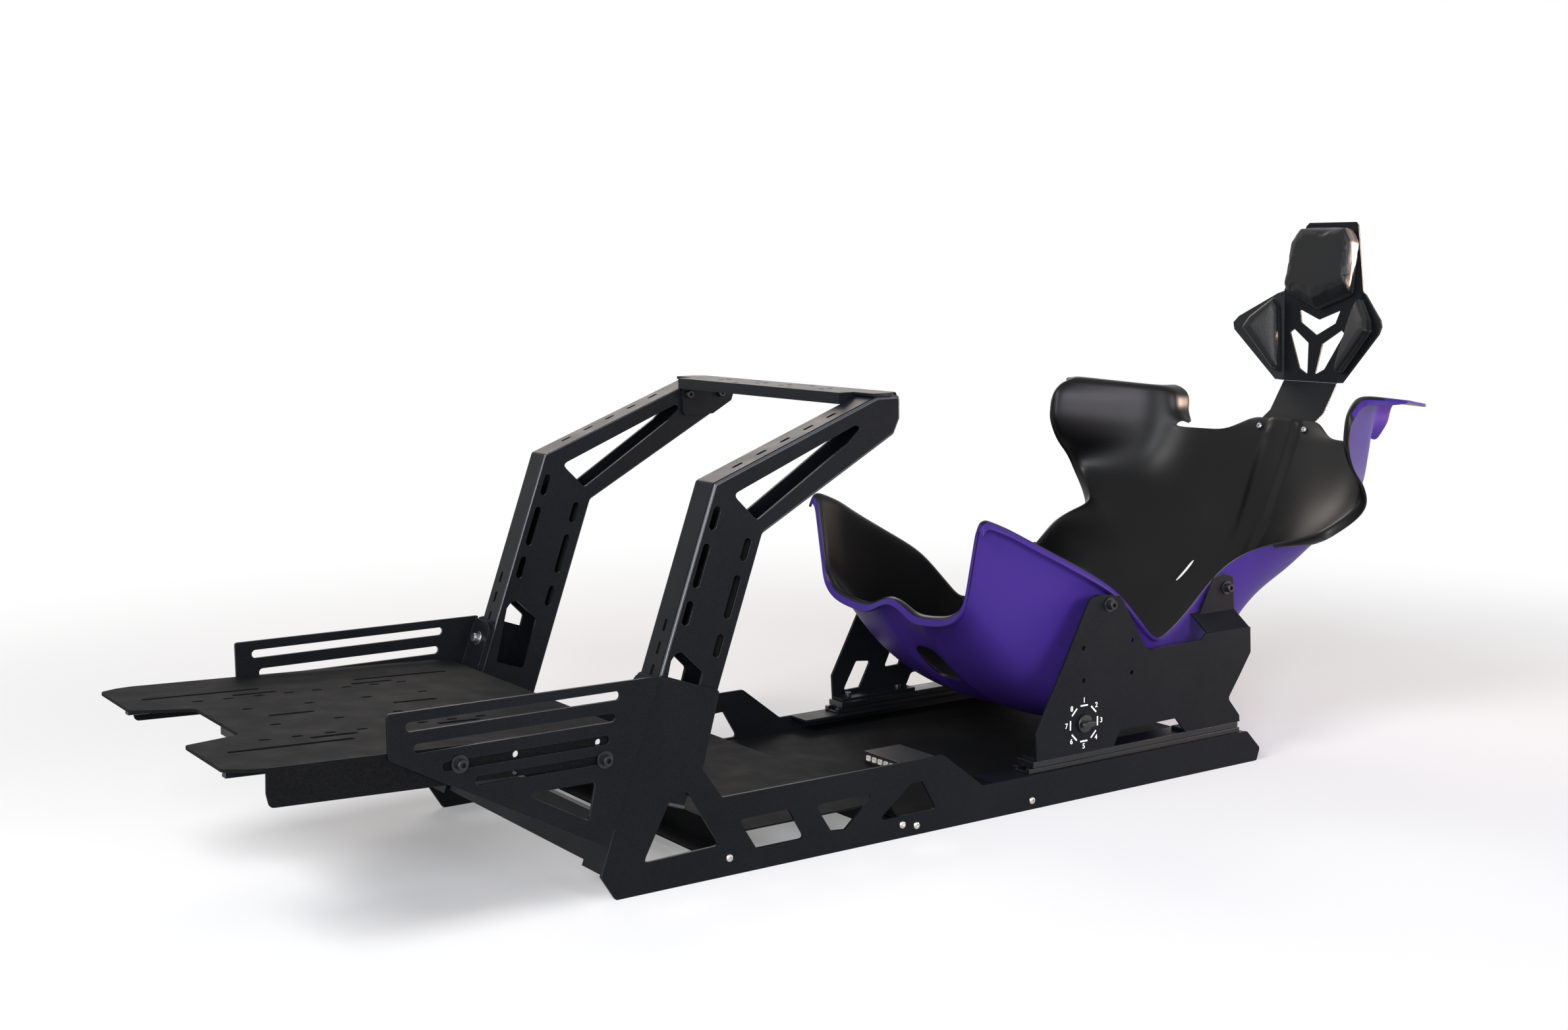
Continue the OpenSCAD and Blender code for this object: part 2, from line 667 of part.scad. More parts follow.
last_row = (len(sections) - 1) * sub_steps;
valley_row = 17 * sub_steps;
flat_cols = 4;
bend_cols = 4;
side_cols = 4;
rim_col = flat_cols + bend_cols + side_cols;
notch_col = flat_cols + bend_cols / 2;
tab_col = 3;
// Share of each straight that the rounding of the corner takes up
corner_in = 0.36;
corner_out = 0.3;

function catmull(a, b, c, d, t) =
    0.5 * ((2 * b) + (c - a) * t + (2 * a - 5 * b + 4 * c - d) * t * t + (3 * b - a - 3 * c + d) * t * t * t);
function section_at(row) =
    let(
        s = max(0, min(last_row, row)) / sub_steps,
        n = len(sections) - 1,
        i = min(n - 1, floor(s)),
        t = s - i
    )
    catmull(sections[max(0, i - 1)], sections[i], sections[i + 1], sections[min(n, i + 2)], t);

// Step from the middle towards the corner, flat at the middle
function crowned(d, t) = [d[0] * pow(t, 1.5), d[1] * t, d[2] * pow(t, 1.5)];

// Point of the shell's outer face at a row and at a column counted outward from the middle
function base_point(row, col) =
    let(
        s = section_at(row),
        m = [s[0], 0, s[1]],
        k = [s[3], s[2], s[4]],
        r = [s[6], s[5], s[7]],
        p1 = k + (m - k) * corner_in,
        p2 = k + (r - k) * corner_out
    )
    col <= flat_cols ? m + crowned(p1 - m, col / flat_cols)
    : col <= flat_cols + bend_cols ? bezier2(p1, k, p2, (col - flat_cols) / bend_cols)
    : p2 + (r - p2) * (col - flat_cols - bend_cols) / side_cols;

function hump(row, y) =
    abs(y) > hump_w ? 0 : hump_h * max(0, 1 - row / (5 * sub_steps)) * (0.5 + 0.5 * cos(180 * y / hump_w));

// Share of the rolled lip's width at each row: it narrows to a tenth where the rear brackets meet the hips
hip_row = 15;
function rim_share(row) = 0.1 + 0.9 * min(1, pow((row - hip_row) / 6, 2));
// Step from the rim to a point on the lip, which rolls over outward and down; over is 1 at its free edge
function rim_roll(row, over) =
    let(share = rim_share(row))
    over * lip_w * share * [0, 1 - 0.35 * share * over, -0.75 * share * over];

// Reach of the flange turned rearward beside the headrest, wider towards the top of the shoulders
function notch_reach(row) = 26 + 20 * pow(max(0, row - 37) / 3, 1.5);

// The slits' outer edges are drawn in towards the middle at these rows
slit_row = 22.5;
function slit_pull(row, col) = col == 2 ? 0.62 * max(0, min(1, 3 - abs(row - slit_row) / 1.5)) : 0;

// Rearward lean of the tab from its foot to its top
tab_lean = 9;

top_rows = 2;
front_rows = 2;
rim_cols = 2;
rear_dir = [1, 0.08, -0.04];
out_dir = [0.42, 0.9, -0.06];

function shell_point(row, col) =
    let(
        a = abs(col),
        over_rim = max(0, a - rim_col) / rim_cols,
        over_top = max(0, row - last_row) / top_rows,
        over_front = max(0, -row) / front_rows,
        in_notch = row > valley_row && a < notch_col ? (notch_col - a) / 2 : 0,
        on_tab = row > valley_row && a <= tab_col,
        b = on_tab ? base_point(valley_row, a)
            : base_point(row, min(rim_col, in_notch > 0 ? notch_col : a - slit_pull(row, a))),
        tab = [base_point(valley_row, 0)[0] + tab_lean, tab_w * a / tab_col, tab_z],
        rim = rim_roll(row, over_rim),
        top = over_top * shoulder_flange * out_dir,
        front = over_front * lip_w * [-0.5, 0, -0.9 * over_front],
        notch = min(1, in_notch) * notch_reach(row) * rear_dir,
        p = on_tab ? tab : b + rim + top + front + notch,
        lift = a <= rim_col ? hump(row, p[1]) : 0
    )
    [p[0], col < 0 ? -p[1] : p[1], p[2] + (row <= 5 * sub_steps ? lift : 0)];

row0 = -front_rows;
row1 = last_row + top_rows;
col1 = rim_col + rim_cols;

// A cell lies between rows r and r + 1 and columns c and c + 1
function has_cell(r, c) =
    let(lo = min(abs(c), abs(c + 1)), hi = max(abs(c), abs(c + 1)))
    r < row0 || r >= row1 || c < -col1 || c >= col1 ? false
    : r < valley_row ? !is_slit(r, lo, hi)
    : r == valley_row ? lo >= notch_col || hi <= tab_col
    : lo >= notch_col - 2;

// Openings: the strap hole in the hump and the slits in the lower back
function is_slit(r, lo, hi) =
    (r >= 3 && r < 5 && hi <= 1) || (r >= 21 && r < 24 && lo == 1 && hi == 2);

function used(r, c) = has_cell(r, c) || has_cell(r - 1, c) || has_cell(r, c - 1) || has_cell(r - 1, c - 1);
rows = [for (r = [row0:row1]) [for (c = [-col1:col1]) shell_point(r, c)]];
function at(r, c) = rows[r - row0][c + col1];
function step_r(r, c) =
    let(fwd = has_cell(r, c) || has_cell(r, c - 1), bwd = has_cell(r - 1, c) || has_cell(r - 1, c - 1))
    at(fwd ? r + 1 : r, c) - at(bwd ? r - 1 : r, c);
function step_c(r, c) =
    let(fwd = has_cell(r, c) || has_cell(r - 1, c), bwd = has_cell(r, c - 1) || has_cell(r - 1, c - 1))
    at(r, fwd ? c + 1 : c) - at(r, bwd ? c - 1 : c);
function inner_point(r, c) = at(r, c) + shell_t * unit(cross(step_r(r, c), step_c(r, c)));

module seat_shell() {
    vertices = [for (r = [row0:row1], c = [-col1:col1]) if (used(r, c)) [r, c]];
    width = 2 * col1 + 1;
    count = len(vertices);
    slots = [for (v = vertices) (v[0] - row0) * width + v[1] + col1];
    // Number of each grid point among the used ones
    numbers = [for (k = [0:(row1 - row0 + 1) * width - 1])
        let(r = floor(k / width) + row0, c = k % width - col1) used(r, c) ? 1 : 0];
    running = [for (k = 0, s = 0; k < len(numbers); s = s + numbers[k], k = k + 1) s];
    cells = [for (r = [row0:row1 - 1], c = [-col1:col1 - 1]) if (has_cell(r, c)) [r, c]];
    outer = [for (v = vertices) at(v[0], v[1])];
    inner = [for (v = vertices) inner_point(v[0], v[1])];
    function id(r, c) = running[(r - row0) * width + c + col1];
    faces = [for (q = cells)
        let(
            a = id(q[0], q[1]), b = id(q[0] + 1, q[1]),
            c = id(q[0] + 1, q[1] + 1), d = id(q[0], q[1] + 1)
        )
        each concat(
            [[a, b, c], [a, c, d], [count + a, count + c, count + b], [count + a, count + d, count + c]],
            has_cell(q[0], q[1] - 1) ? [] : [[a, count + b, b], [a, count + a, count + b]],
            has_cell(q[0], q[1] + 1) ? [] : [[d, c, count + c], [d, count + c, count + d]],
            has_cell(q[0] - 1, q[1]) ? [] : [[a, d, count + d], [a, count + d, count + a]],
            has_cell(q[0] + 1, q[1]) ? [] : [[b, count + c, c], [b, count + b, count + c]]
        )];
    color("#4b2f86") polyhedron(points = concat(inner, outer), faces = faces, convexity = 12);
}

// Headrest

// Sheet drawn with y across and w up the plate's own lean
module on_rest() {
    translate([rest_x, 0, rest_z]) rotate([0, rest_lean, 0]) children();
}
module rest_sheet(pts, t = rest_t) {
    rotate([90, 0, 90]) linear_extrude(t) polygon(pts);
}
fold_low = [58, 0];
fold_high = [85, 157];

module headrest_plate() {
    holes = [
        [[0, 80], [37, 101], [44, 124], [0, 107], [-44, 124], [-37, 101]],
        [[51, 90], [59, 84], [27, 22], [8, 12], [15, 66]],
        [[-15, 66], [-8, 12], [-27, 22], [-59, 84], [-51, 90]]
    ];
    color(steel) on_rest() difference() {
        union() {
            rest_sheet([fold_low, fold_high, [56, rest_h - 6], [50, rest_h], [-50, rest_h],
                [-56, rest_h - 6], [-fold_high[0], fold_high[1]], [-fold_low[0], 0]]);
            for (s = [0, 1]) mirror([0, s, 0]) wing();
        }
        for (h = holes) translate([-1, 0, 0]) rest_sheet(rounded(h, 2), rest_t + 2);
    }
}

// Wing folded forward along the line between the two fold points
// Depth of the fold's line below the sheet's rear face
bend_in = 0.3;
fold_angle = atan2(fold_high[0] - fold_low[0], fold_high[1] - fold_low[1]);
module on_fold() {
    pivot = rest_t - bend_in;
    translate([pivot, fold_low[0], 0]) rotate([-fold_angle, 0, 0]) rotate([0, 0, wing_fold])
        rotate([fold_angle, 0, 0]) translate([-pivot, -fold_low[0], 0]) children();
}
module wing() {
    on_fold() rest_sheet([fold_low - [1, 0], [75, 0], [wing_w - 4, 80], [wing_w, 92], [wing_w - 8, 104],
        [97, 150], fold_high - [1, 1]]);
}

// Strap from the back of the shell's tab up to the headrest plate, bent twice
module headrest_neck() {
    valley = base_point(valley_row, 0);
    tab_foot = [valley[0] + seat_gap, valley[2]];
    tab_top = tab_foot + [tab_lean, tab_z - valley[2]];
    low = tab_foot - (tab_top - tab_foot) * 0.6;
    knee = [rest_x - 33, rest_z - 50];
    d = [rest_t, 0];
    // The top edge is square to the headrest plate and lies just below it
    top = [rest_x, rest_z] - seat_gap * [sin(rest_lean), cos(rest_lean)];
    top_rear = top + rest_t * [cos(rest_lean), -sin(rest_lean)];
    color(steel) plate([low, tab_top, knee, top, top_rear, knee + d, tab_top + d, low + d], -neck_w, neck_w);
}

// Main cushion: a block with upright sides, chamfered top corners and a V-shaped foot that slopes in to its face
module headrest_pad() {
    w0 = rest_h - 12;
    outline = [[0, 122], [70, 150], [66, w0 - 24], [50, w0], [-50, w0], [-66, w0 - 24], [-70, 150]];
    face = [[0, 140], [65, 168], [61, w0 - 25], [46, w0 - 3], [-46, w0 - 3], [-61, w0 - 25], [-65, 168]];
    color("#17181a") on_rest() hull() {
        translate([-pad_t * 0.45 - seat_gap, 0, 0]) rest_sheet(outline, pad_t * 0.45);
        translate([-pad_t, 0, 0]) rest_sheet(face, 1);
    }
}

module headrest_side_pad() {
    outline = [[66, 14], [80, 16], [148, 84], [138, 104], [98, 142], [88, 130]];
    face = [[74, 28], [82, 30], [130, 86], [124, 98], [100, 126], [92, 114]];
    color("#17181a") on_rest() on_fold() hull() {
        translate([-12 - seat_gap, 0, 0]) rest_sheet(outline, 12);
        translate([-20, 0, 0]) rest_sheet(face, 1);
    }
}

centred() left() side_plate();  // side_plate_left
centred() side_plate();  // side_plate_right
centred() front_crossmember();
centred() floor_panel_front();
centred() mid_crossmember();
centred() floor_pan_rear();
centred() rear_crossmember();
centred() control_box();
centred() left() upright_channel();  // upright_channel_left
centred() upright_channel();  // upright_channel_right
centred() left() upright_cover();  // upright_cover_left
centred() upright_cover();  // upright_cover_right
centred() wheel_deck();
centred() left() tray_bracket();  // tray_bracket_left
centred() tray_bracket();  // tray_bracket_right
centred() pedal_tray();
centred() tray_ribs();
centred() tray_bolts();
centred() left() slide_rail();  // slide_rail_left
centred() slide_rail();  // slide_rail_right
centred() left() slide_carriage();  // slide_carriage_left
centred() slide_carriage();  // slide_carriage_right
centred() left() seat_bracket(true);  // seat_bracket_left
centred() seat_bracket(false);  // seat_bracket_right
centred() seat_spacers();
centred() dial_knob();
centred() seat_shell();
centred() headrest_neck();
centred() headrest_plate();
centred() headrest_pad();
centred() left() headrest_side_pad();  // headrest_side_pad_left
centred() headrest_side_pad();  // headrest_side_pad_right
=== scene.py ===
"""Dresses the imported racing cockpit: sheet steel, a lofted shell, a padded headrest, fasteners and light."""

import logging
import math
from collections.abc import Callable, Iterable, Sequence
from dataclasses import dataclass, field
from enum import Enum

import bmesh
import bpy
import numpy as np
from mathutils import Matrix, Vector

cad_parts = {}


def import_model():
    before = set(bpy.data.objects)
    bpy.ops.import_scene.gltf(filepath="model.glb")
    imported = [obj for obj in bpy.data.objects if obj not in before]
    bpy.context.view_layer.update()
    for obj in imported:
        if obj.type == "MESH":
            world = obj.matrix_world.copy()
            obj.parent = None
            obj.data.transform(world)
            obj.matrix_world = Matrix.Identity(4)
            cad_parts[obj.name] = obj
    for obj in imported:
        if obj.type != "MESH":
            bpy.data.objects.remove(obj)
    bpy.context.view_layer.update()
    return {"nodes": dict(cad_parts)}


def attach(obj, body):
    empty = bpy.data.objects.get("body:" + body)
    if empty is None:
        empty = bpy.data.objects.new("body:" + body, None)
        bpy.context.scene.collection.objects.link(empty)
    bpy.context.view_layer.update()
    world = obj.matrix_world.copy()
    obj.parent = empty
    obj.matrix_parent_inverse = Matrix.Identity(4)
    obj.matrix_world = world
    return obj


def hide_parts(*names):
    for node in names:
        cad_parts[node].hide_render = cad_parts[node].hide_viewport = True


LOG = logging.getLogger("cockpit")

Point = Sequence[float]
MM = 0.001
# Points closer than this, in metres, are one point
WELD = 0.00001
# The row frame has the middle of the length at x = 0; drawings, in millimetres, start from the chassis's zero
MID_X = 47.39196
# The tower leans back from its foot
LEAN = math.radians(19.75)
FOOT = (-521.0, 32.0)
# The pedal tray falls from its front end
TRAY_TILT = math.radians(2.16)
TRAY_END = -490.0
TRAY_Z = 215.5
# The headrest plate leans back from its foot
REST_LEAN = math.radians(9.8)
REST_FOOT = (1015.0, 553.0)
# Height of the line that the deck's uprights end on, and the depth of their outline across the lean
UPRIGHT_TOP = 593.0
UPRIGHT_DEPTH = (4, 94)


def place(x: float, y: float, z: float) -> Vector:
    """Turns a drawing's point in millimetres into the row frame in metres."""
    return Vector(((x - MID_X) * MM, y * MM, z * MM))


def on_lean(u: float, v: float) -> tuple[float, float]:
    """Gives x and z of a point on the tower's own axes, u up along the lean and v square to it."""
    return (
        FOOT[0] + u * math.sin(LEAN) + v * math.cos(LEAN),
        FOOT[1] + u * math.cos(LEAN) - v * math.sin(LEAN),
    )


def on_tray(x: float, z: float) -> tuple[float, float]:
    """Gives x and z of a point drawn on the flat pedal tray."""
    return (
        TRAY_END + x * math.cos(TRAY_TILT) + z * math.sin(TRAY_TILT),
        TRAY_Z - x * math.sin(TRAY_TILT) + z * math.cos(TRAY_TILT),
    )


def on_rest(depth: float, across: float, up: float) -> Vector:
    """Gives the place of a point on the headrest plate.

    Args:
        depth: Distance behind the plate's front face, in millimetres.
        across: Distance to the right of the middle.
        up: Distance up the plate's lean from its foot.

    Returns:
        The point in the row frame.
    """
    c, s = math.cos(REST_LEAN), math.sin(REST_LEAN)
    return place(REST_FOOT[0] + depth * c + up * s, across, REST_FOOT[1] - depth * s + up * c)


def linear(colour: str, alpha: float = 1.0) -> tuple[float, float, float, float]:
    """Turns an sRGB hex colour into linear values.

    Args:
        colour: Six hex digits after a hash.
        alpha: The fourth value.

    Returns:
        Red, green, blue and alpha.
    """
    parts = [int(colour[k : k + 2], 16) / 255 for k in (1, 3, 5)]
    r, g, b = (c / 12.92 if c <= 0.04045 else ((c + 0.055) / 1.055) ** 2.4 for c in parts)
    return (r, g, b, alpha)


def add_node(
    tree: bpy.types.NodeTree,
    kind: str,
    settings: dict[str, object] | None = None,
    inputs: dict[str | int, object] | None = None,
) -> bpy.types.Node:
    """Adds a node with its settings, and sets or links its inputs.

    Args:
        tree: The tree that gets the node.
        kind: The node's type name.
        settings: Attributes of the node.
        inputs: Values or sockets by input name or number; a socket is linked.

    Returns:
        The new node.
    """
    node = tree.nodes.new(kind)
    for name, value in (settings or {}).items():
        setattr(node, name, value)
    for name, value in (inputs or {}).items():
        if isinstance(value, bpy.types.NodeSocket):
            tree.links.new(value, node.inputs[name])
        else:
            node.inputs[name].default_value = value
    return node


def empty_tree(holder: bpy.types.Material | bpy.types.World) -> bpy.types.NodeTree:
    """Gives the cleared node tree of a material or a world."""
    holder.use_nodes = True
    holder.node_tree.nodes.clear()
    return holder.node_tree


def crossing(p: Point, along: Point, q: Point, other: Point) -> tuple[float, float]:
    """Finds where two lines cross.

    Args:
        p: A point on the first line.
        along: Its direction.
        q: A point on the other line.
        other: Its direction.

    Returns:
        The point on both.
    """
    turn = along[0] * other[1] - along[1] * other[0]
    share = ((q[0] - p[0]) * other[1] - (q[1] - p[1]) * other[0]) / turn
    return (p[0] + along[0] * share, p[1] + along[1] * share)


def to_segment(at: Point, a: Point, b: Point) -> float:
    """Measures from a point to the straight line between two others.

    Args:
        at: The point.
        a: The line's start.
        b: The line's end.

    Returns:
        The shortest distance.
    """
    start, end, spot = Vector(a), Vector(b), Vector(at)
    share = max(0.0, min(1.0, (spot - start).dot(end - start) / (end - start).length_squared))
    return (spot - start.lerp(end, share)).length


def upright_outline() -> list[tuple[float, float]]:
    """Gives the outline of a wheel upright in x and z, from its foot up and round to its foot again."""
    rise, under = math.radians(20.7), math.radians(28.6)
    front, back = UPRIGHT_DEPTH
    bend, low = on_lean(497, front), (-71.0, 542.5)
    flat = crossing(bend, (math.cos(rise), math.sin(rise)), (0.0, UPRIGHT_TOP), (1.0, 0.0))
    up = (math.sin(LEAN), math.cos(LEAN))
    elbow = crossing(low, (math.cos(under), math.sin(under)), on_lean(0, back), up)
    tip = [(-61.0, UPRIGHT_TOP), (-61.0, UPRIGHT_TOP - 30)]
    return [on_lean(100, front), bend, flat, *tip, low, elbow, on_lean(100, back)]


# Kinds of node that several materials use
NOISE = "ShaderNodeTexNoise"
RANGE = "ShaderNodeMapRange"
MATH = "ShaderNodeMath"
BUMP = "ShaderNodeBump"


# Finishes


@dataclass(frozen=True)
class Finish:
    """A surface made with a Principled shader; subclasses add its pattern."""

    name: str
    colour: str
    roughness: float
    metallic: float = 0.0
    specular: float = 0.5

    def pattern(self, tree: bpy.types.NodeTree, where: bpy.types.NodeSocket) -> dict[str, object]:
        """Gives the shader inputs that the finish's pattern drives.

        Args:
            tree: The material's tree.
            where: Socket with the surface's place on the object, in metres.

        Returns:
            Values and sockets by the shader's input name.
        """
        return {}

    def build(self) -> bpy.types.Material:
        """Makes the material once and gives it again afterwards."""
        made = bpy.data.materials.get(self.name)
        if made is not None:
            return made
        material = bpy.data.materials.new(self.name)
        tree = empty_tree(material)
        where = add_node(tree, "ShaderNodeTexCoord").outputs["Object"]
        inputs: dict[str, object] = {
            "Base Color": linear(self.colour),
            "Roughness": self.roughness,
            "Metallic": self.metallic,
            "Specular IOR Level": self.specular,
        }
        inputs.update(self.pattern(tree, where))
        shader = add_node(tree, "ShaderNodeBsdfPrincipled", None, inputs)
        add_node(tree, "ShaderNodeOutputMaterial", None, {"Surface": shader.outputs["BSDF"]})
        return material


@dataclass(frozen=True)
class PowderCoat(Finish):
    """Fine-texture polyester powder on sheet steel: matt, with a sandy grain that breaks up highlights."""

    grain: float = 0.0016
    bite: float = 0.05
    lit: str = "#26282c"
    handled: float = 0.08

    def pattern(self, tree: bpy.types.NodeTree, where: bpy.types.NodeSocket) -> dict[str, object]:
        """Adds the sandy grain, a cloudy shift of tone and rubbed patches.

        Args:
            tree: The material's tree.
            where: Socket with the surface's place on the object, in metres.

        Returns:
            Values and sockets by the shader's input name.
        """
        # The real grain is about 0.3 mm; it is drawn coarser so that it shows in a view of the whole cockpit
        grain = add_node(tree, NOISE, None, {"Vector": where, "Scale": 1 / self.grain, "Detail": 2.0})
        cloud = add_node(tree, NOISE, None, {"Vector": where, "Scale": 7.0, "Detail": 3.0})
        rubbed = add_node(tree, NOISE, None, {"Vector": where, "Scale": 26.0, "Detail": 5.0})
        speckle = add_node(
            tree, RANGE, None,
            {"Value": grain.outputs["Fac"], "From Min": 0.35, "From Max": 0.75, "To Min": 0.0, "To Max": 0.4},
        )
        tone = add_node(
            tree, MATH, {"operation": "MULTIPLY_ADD"},
            {0: cloud.outputs["Fac"], 1: 0.35, 2: speckle.outputs["Result"]},
        )
        colour = add_node(
            tree, "ShaderNodeMix", {"data_type": "RGBA"},
            {"Factor": tone.outputs[0], "A": linear(self.colour), "B": linear(self.lit)},
        )
        shine = add_node(
            tree, RANGE, None,
            {
                "Value": rubbed.outputs["Fac"], "From Min": 0.4, "From Max": 0.7,
                "To Min": self.roughness, "To Max": self.roughness - self.handled,
            },
        )
        bump = add_node(
            tree, BUMP, None,
            {"Height": grain.outputs["Fac"], "Strength": self.bite, "Distance": 0.0004},
        )
        return {
            "Base Color": colour.outputs["Result"],
            "Roughness": shine.outputs["Result"],
            "Normal": bump.outputs["Normal"],
        }


@dataclass(frozen=True)
class GelCoat(Finish):
    """Pigmented polyester gel coat off a polished mould: satin, with orange peel and a drift of tone."""

    deep: str = "#3c2a78"
    peel: float = 0.004

    def pattern(self, tree: bpy.types.NodeTree, where: bpy.types.NodeSocket) -> dict[str, object]:
        """Adds orange peel, fine pigment specks and a drift of tone.

        Args:
            tree: The material's tree.
            where: Socket with the surface's place on the object, in metres.

        Returns:
            Values and sockets by the shader's input name.
        """
        peel = add_node(tree, NOISE, None, {"Vector": where, "Scale": 1 / self.peel, "Detail": 1.0})
        specks = add_node(tree, NOISE, None, {"Vector": where, "Scale": 700.0, "Detail": 2.0})
        drift = add_node(tree, NOISE, None, {"Vector": where, "Scale": 5.0, "Detail": 2.0})
        share = add_node(
            tree, MATH, {"operation": "MULTIPLY_ADD", "use_clamp": True},
            {0: specks.outputs["Fac"], 1: 0.35, 2: -0.02},
        )
        total = add_node(
            tree, MATH, {"operation": "MULTIPLY_ADD", "use_clamp": True},
            {0: drift.outputs["Fac"], 1: 0.3, 2: share.outputs[0]},
        )
        colour = add_node(
            tree, "ShaderNodeMix", {"data_type": "RGBA"},
            {"Factor": total.outputs[0], "A": linear(self.colour), "B": linear(self.deep)},
        )
        shine = add_node(
            tree, RANGE, None,
            {"Value": drift.outputs["Fac"], "To Min": self.roughness - 0.05, "To Max": self.roughness + 0.06},
        )
        bump = add_node(
            tree, BUMP, None,
            {"Height": peel.outputs["Fac"], "Strength": 0.08, "Distance": 0.0003},
        )
        return {
            "Base Color": colour.outputs["Result"],
            "Roughness": shine.outputs["Result"],
            "Normal": bump.outputs["Normal"],
        }


@dataclass(frozen=True)
class Leatherette(Finish):
    """PVC-coated fabric over foam: pebbled grain, darker in the valleys, with a soft sheen on the rises."""

    pebble: float = 0.0022
    valley: str = "#0b0c0e"

    def pattern(self, tree: bpy.types.NodeTree, where: bpy.types.NodeSocket) -> dict[str, object]:
        """Adds the pebbled grain.

        Args:
            tree: The material's tree.
            where: Socket with the surface's place on the object, in metres.

        Returns:
            Values and sockets by the shader's input name.
        """
        # The real pebbles are about 1 mm across; they are drawn twice as coarse so that they show
        pebbles = add_node(
            tree, "ShaderNodeTexVoronoi", {"feature": "SMOOTH_F1"},
            {"Vector": where, "Scale": 1 / self.pebble},
        )
        folds = add_node(tree, NOISE, None, {"Vector": where, "Scale": 90.0, "Detail": 4.0})
        height = add_node(
            tree, MATH, {"operation": "MULTIPLY_ADD"},
            {0: folds.outputs["Fac"], 1: 0.6, 2: pebbles.outputs["Distance"]},
        )
        colour = add_node(
            tree, "ShaderNodeMix", {"data_type": "RGBA"},
            {"Factor": pebbles.outputs["Distance"], "A": linear(self.colour), "B": linear(self.valley)},
        )
        bump = add_node(
            tree, BUMP, {"invert": True},
            {"Height": height.outputs[0], "Strength": 0.45, "Distance": 0.0004},
        )
        return {
            "Base Color": colour.outputs["Result"],
            "Sheen Weight": 0.05,
            "Sheen Roughness": 0.5,
            "Normal": bump.outputs["Normal"],
        }


@dataclass(frozen=True)
class TurnedMetal(Finish):
    """Turned and headed steel, oxidised or left bright: fine tool marks, and patchy oil in the roughness."""

    marks: float = 0.0005

    def pattern(self, tree: bpy.types.NodeTree, where: bpy.types.NodeSocket) -> dict[str, object]:
        """Adds tool marks and patchy shine.

        Args:
            tree: The material's tree.
            where: Socket with the surface's place on the object, in metres.

        Returns:
            Values and sockets by the shader's input name.
        """
        marks = add_node(tree, NOISE, None, {"Vector": where, "Scale": 1 / self.marks, "Detail": 2.0})
        oil = add_node(tree, NOISE, None, {"Vector": where, "Scale": 220.0, "Detail": 3.0})
        shine = add_node(
            tree, RANGE, None,
            {"Value": oil.outputs["Fac"], "To Min": self.roughness - 0.12, "To Max": self.roughness + 0.12},
        )
        bump = add_node(
            tree, BUMP, None, {"Height": marks.outputs["Fac"], "Strength": 0.12, "Distance": 0.0001}
        )
        return {"Roughness": shine.outputs["Result"], "Normal": bump.outputs["Normal"]}


@dataclass(frozen=True)
class MouldedPlastic(Finish):
    """Injection-moulded ABS from a spark-eroded mould: an even fine texture and a slightly greasy sheen."""

    texture: float = 0.0009
    bite: float = 0.2

    def pattern(self, tree: bpy.types.NodeTree, where: bpy.types.NodeSocket) -> dict[str, object]:
        """Adds the mould's texture and finger marks.

        Args:
            tree: The material's tree.
            where: Socket with the surface's place on the object, in metres.

        Returns:
            Values and sockets by the shader's input name.
        """
        texture = add_node(
            tree, NOISE, None, {"Vector": where, "Scale": 1 / self.texture, "Detail": 1.0}
        )
        touch = add_node(tree, NOISE, None, {"Vector": where, "Scale": 60.0, "Detail": 2.0})
        shine = add_node(
            tree, RANGE, None,
            {"Value": touch.outputs["Fac"], "To Min": self.roughness - 0.08, "To Max": self.roughness + 0.08},
        )
        bump = add_node(
            tree, BUMP, None,
            {"Height": texture.outputs["Fac"], "Strength": self.bite, "Distance": 0.0001},
        )
        return {"Roughness": shine.outputs["Result"], "Normal": bump.outputs["Normal"]}


# Each finish says what it gives the eye
# Baked polyester powder on sheet steel: dead black with a sandy grain, so a lamp spreads to a soft grey haze
COAT = PowderCoat("black_powder_coat", "#07080a", 0.42, specular=0.08, lit="#1b1e22")
# The same powder over a bend or a cut edge: smoother and shinier, so that it catches a line of light, and
# paler, which is a painted highlight along the edge
COAT_EDGE_HIGHLIGHT = PowderCoat("powder_coat_painted_edge_highlight", "#1d1f23", 0.3, specular=0.6, lit="#3a3d43", bite=0.03)
# The coarse powder of the floor pans, scuffed by shoes: flat and dusty
COAT_FLOOR = PowderCoat("powder_coat_floor", "#060606", 0.7, specular=0.04, lit="#1b1c1e", grain=0.0022)
# Pigmented polyester gel coat off a polished mould: deep satin purple with a long soft highlight
GEL_PURPLE = GelCoat("purple_gel_coat", "#3a2674", 0.4, specular=0.08, deep="#23174c")
# The black gel coat of the inside: the same satin, almost without colour
GEL_BLACK = GelCoat("black_gel_coat", "#050506", 0.36, specular=0.18, deep="#020203")
# Grained PVC-coated cloth over foam: matt, with a soft bloom on the rises
PAD_SKIN = Leatherette("black_leatherette", "#08090b", 0.4, specular=0.22)
# Waxed polyester thread: dull and a shade paler than the cover
PAD_THREAD = MouldedPlastic("black_bonded_thread", "#1b1d20", 0.6)
# Black oxide on machined screws: oily dark steel with a grey glint
OXIDE = TurnedMetal("black_oxide_steel", "#2b2c2f", 0.36, metallic=0.75)
# Bare stainless screws: small bright points
BRIGHT = TurnedMetal("stainless_screw", "#c3bfb9", 0.3, metallic=1.0)
# Zinc plating on nuts and washers: a cooler, duller silver
ZINC = TurnedMetal("zinc_plated_steel", "#9a9ca0", 0.34, metallic=1.0)
# Baked black enamel on the rolled slide rails: smoother than the powder, with sharp streaks along the rail
ENAMEL = PowderCoat("rail_enamel", "#08080a", 0.32, specular=0.4, lit="#121315", bite=0.08)
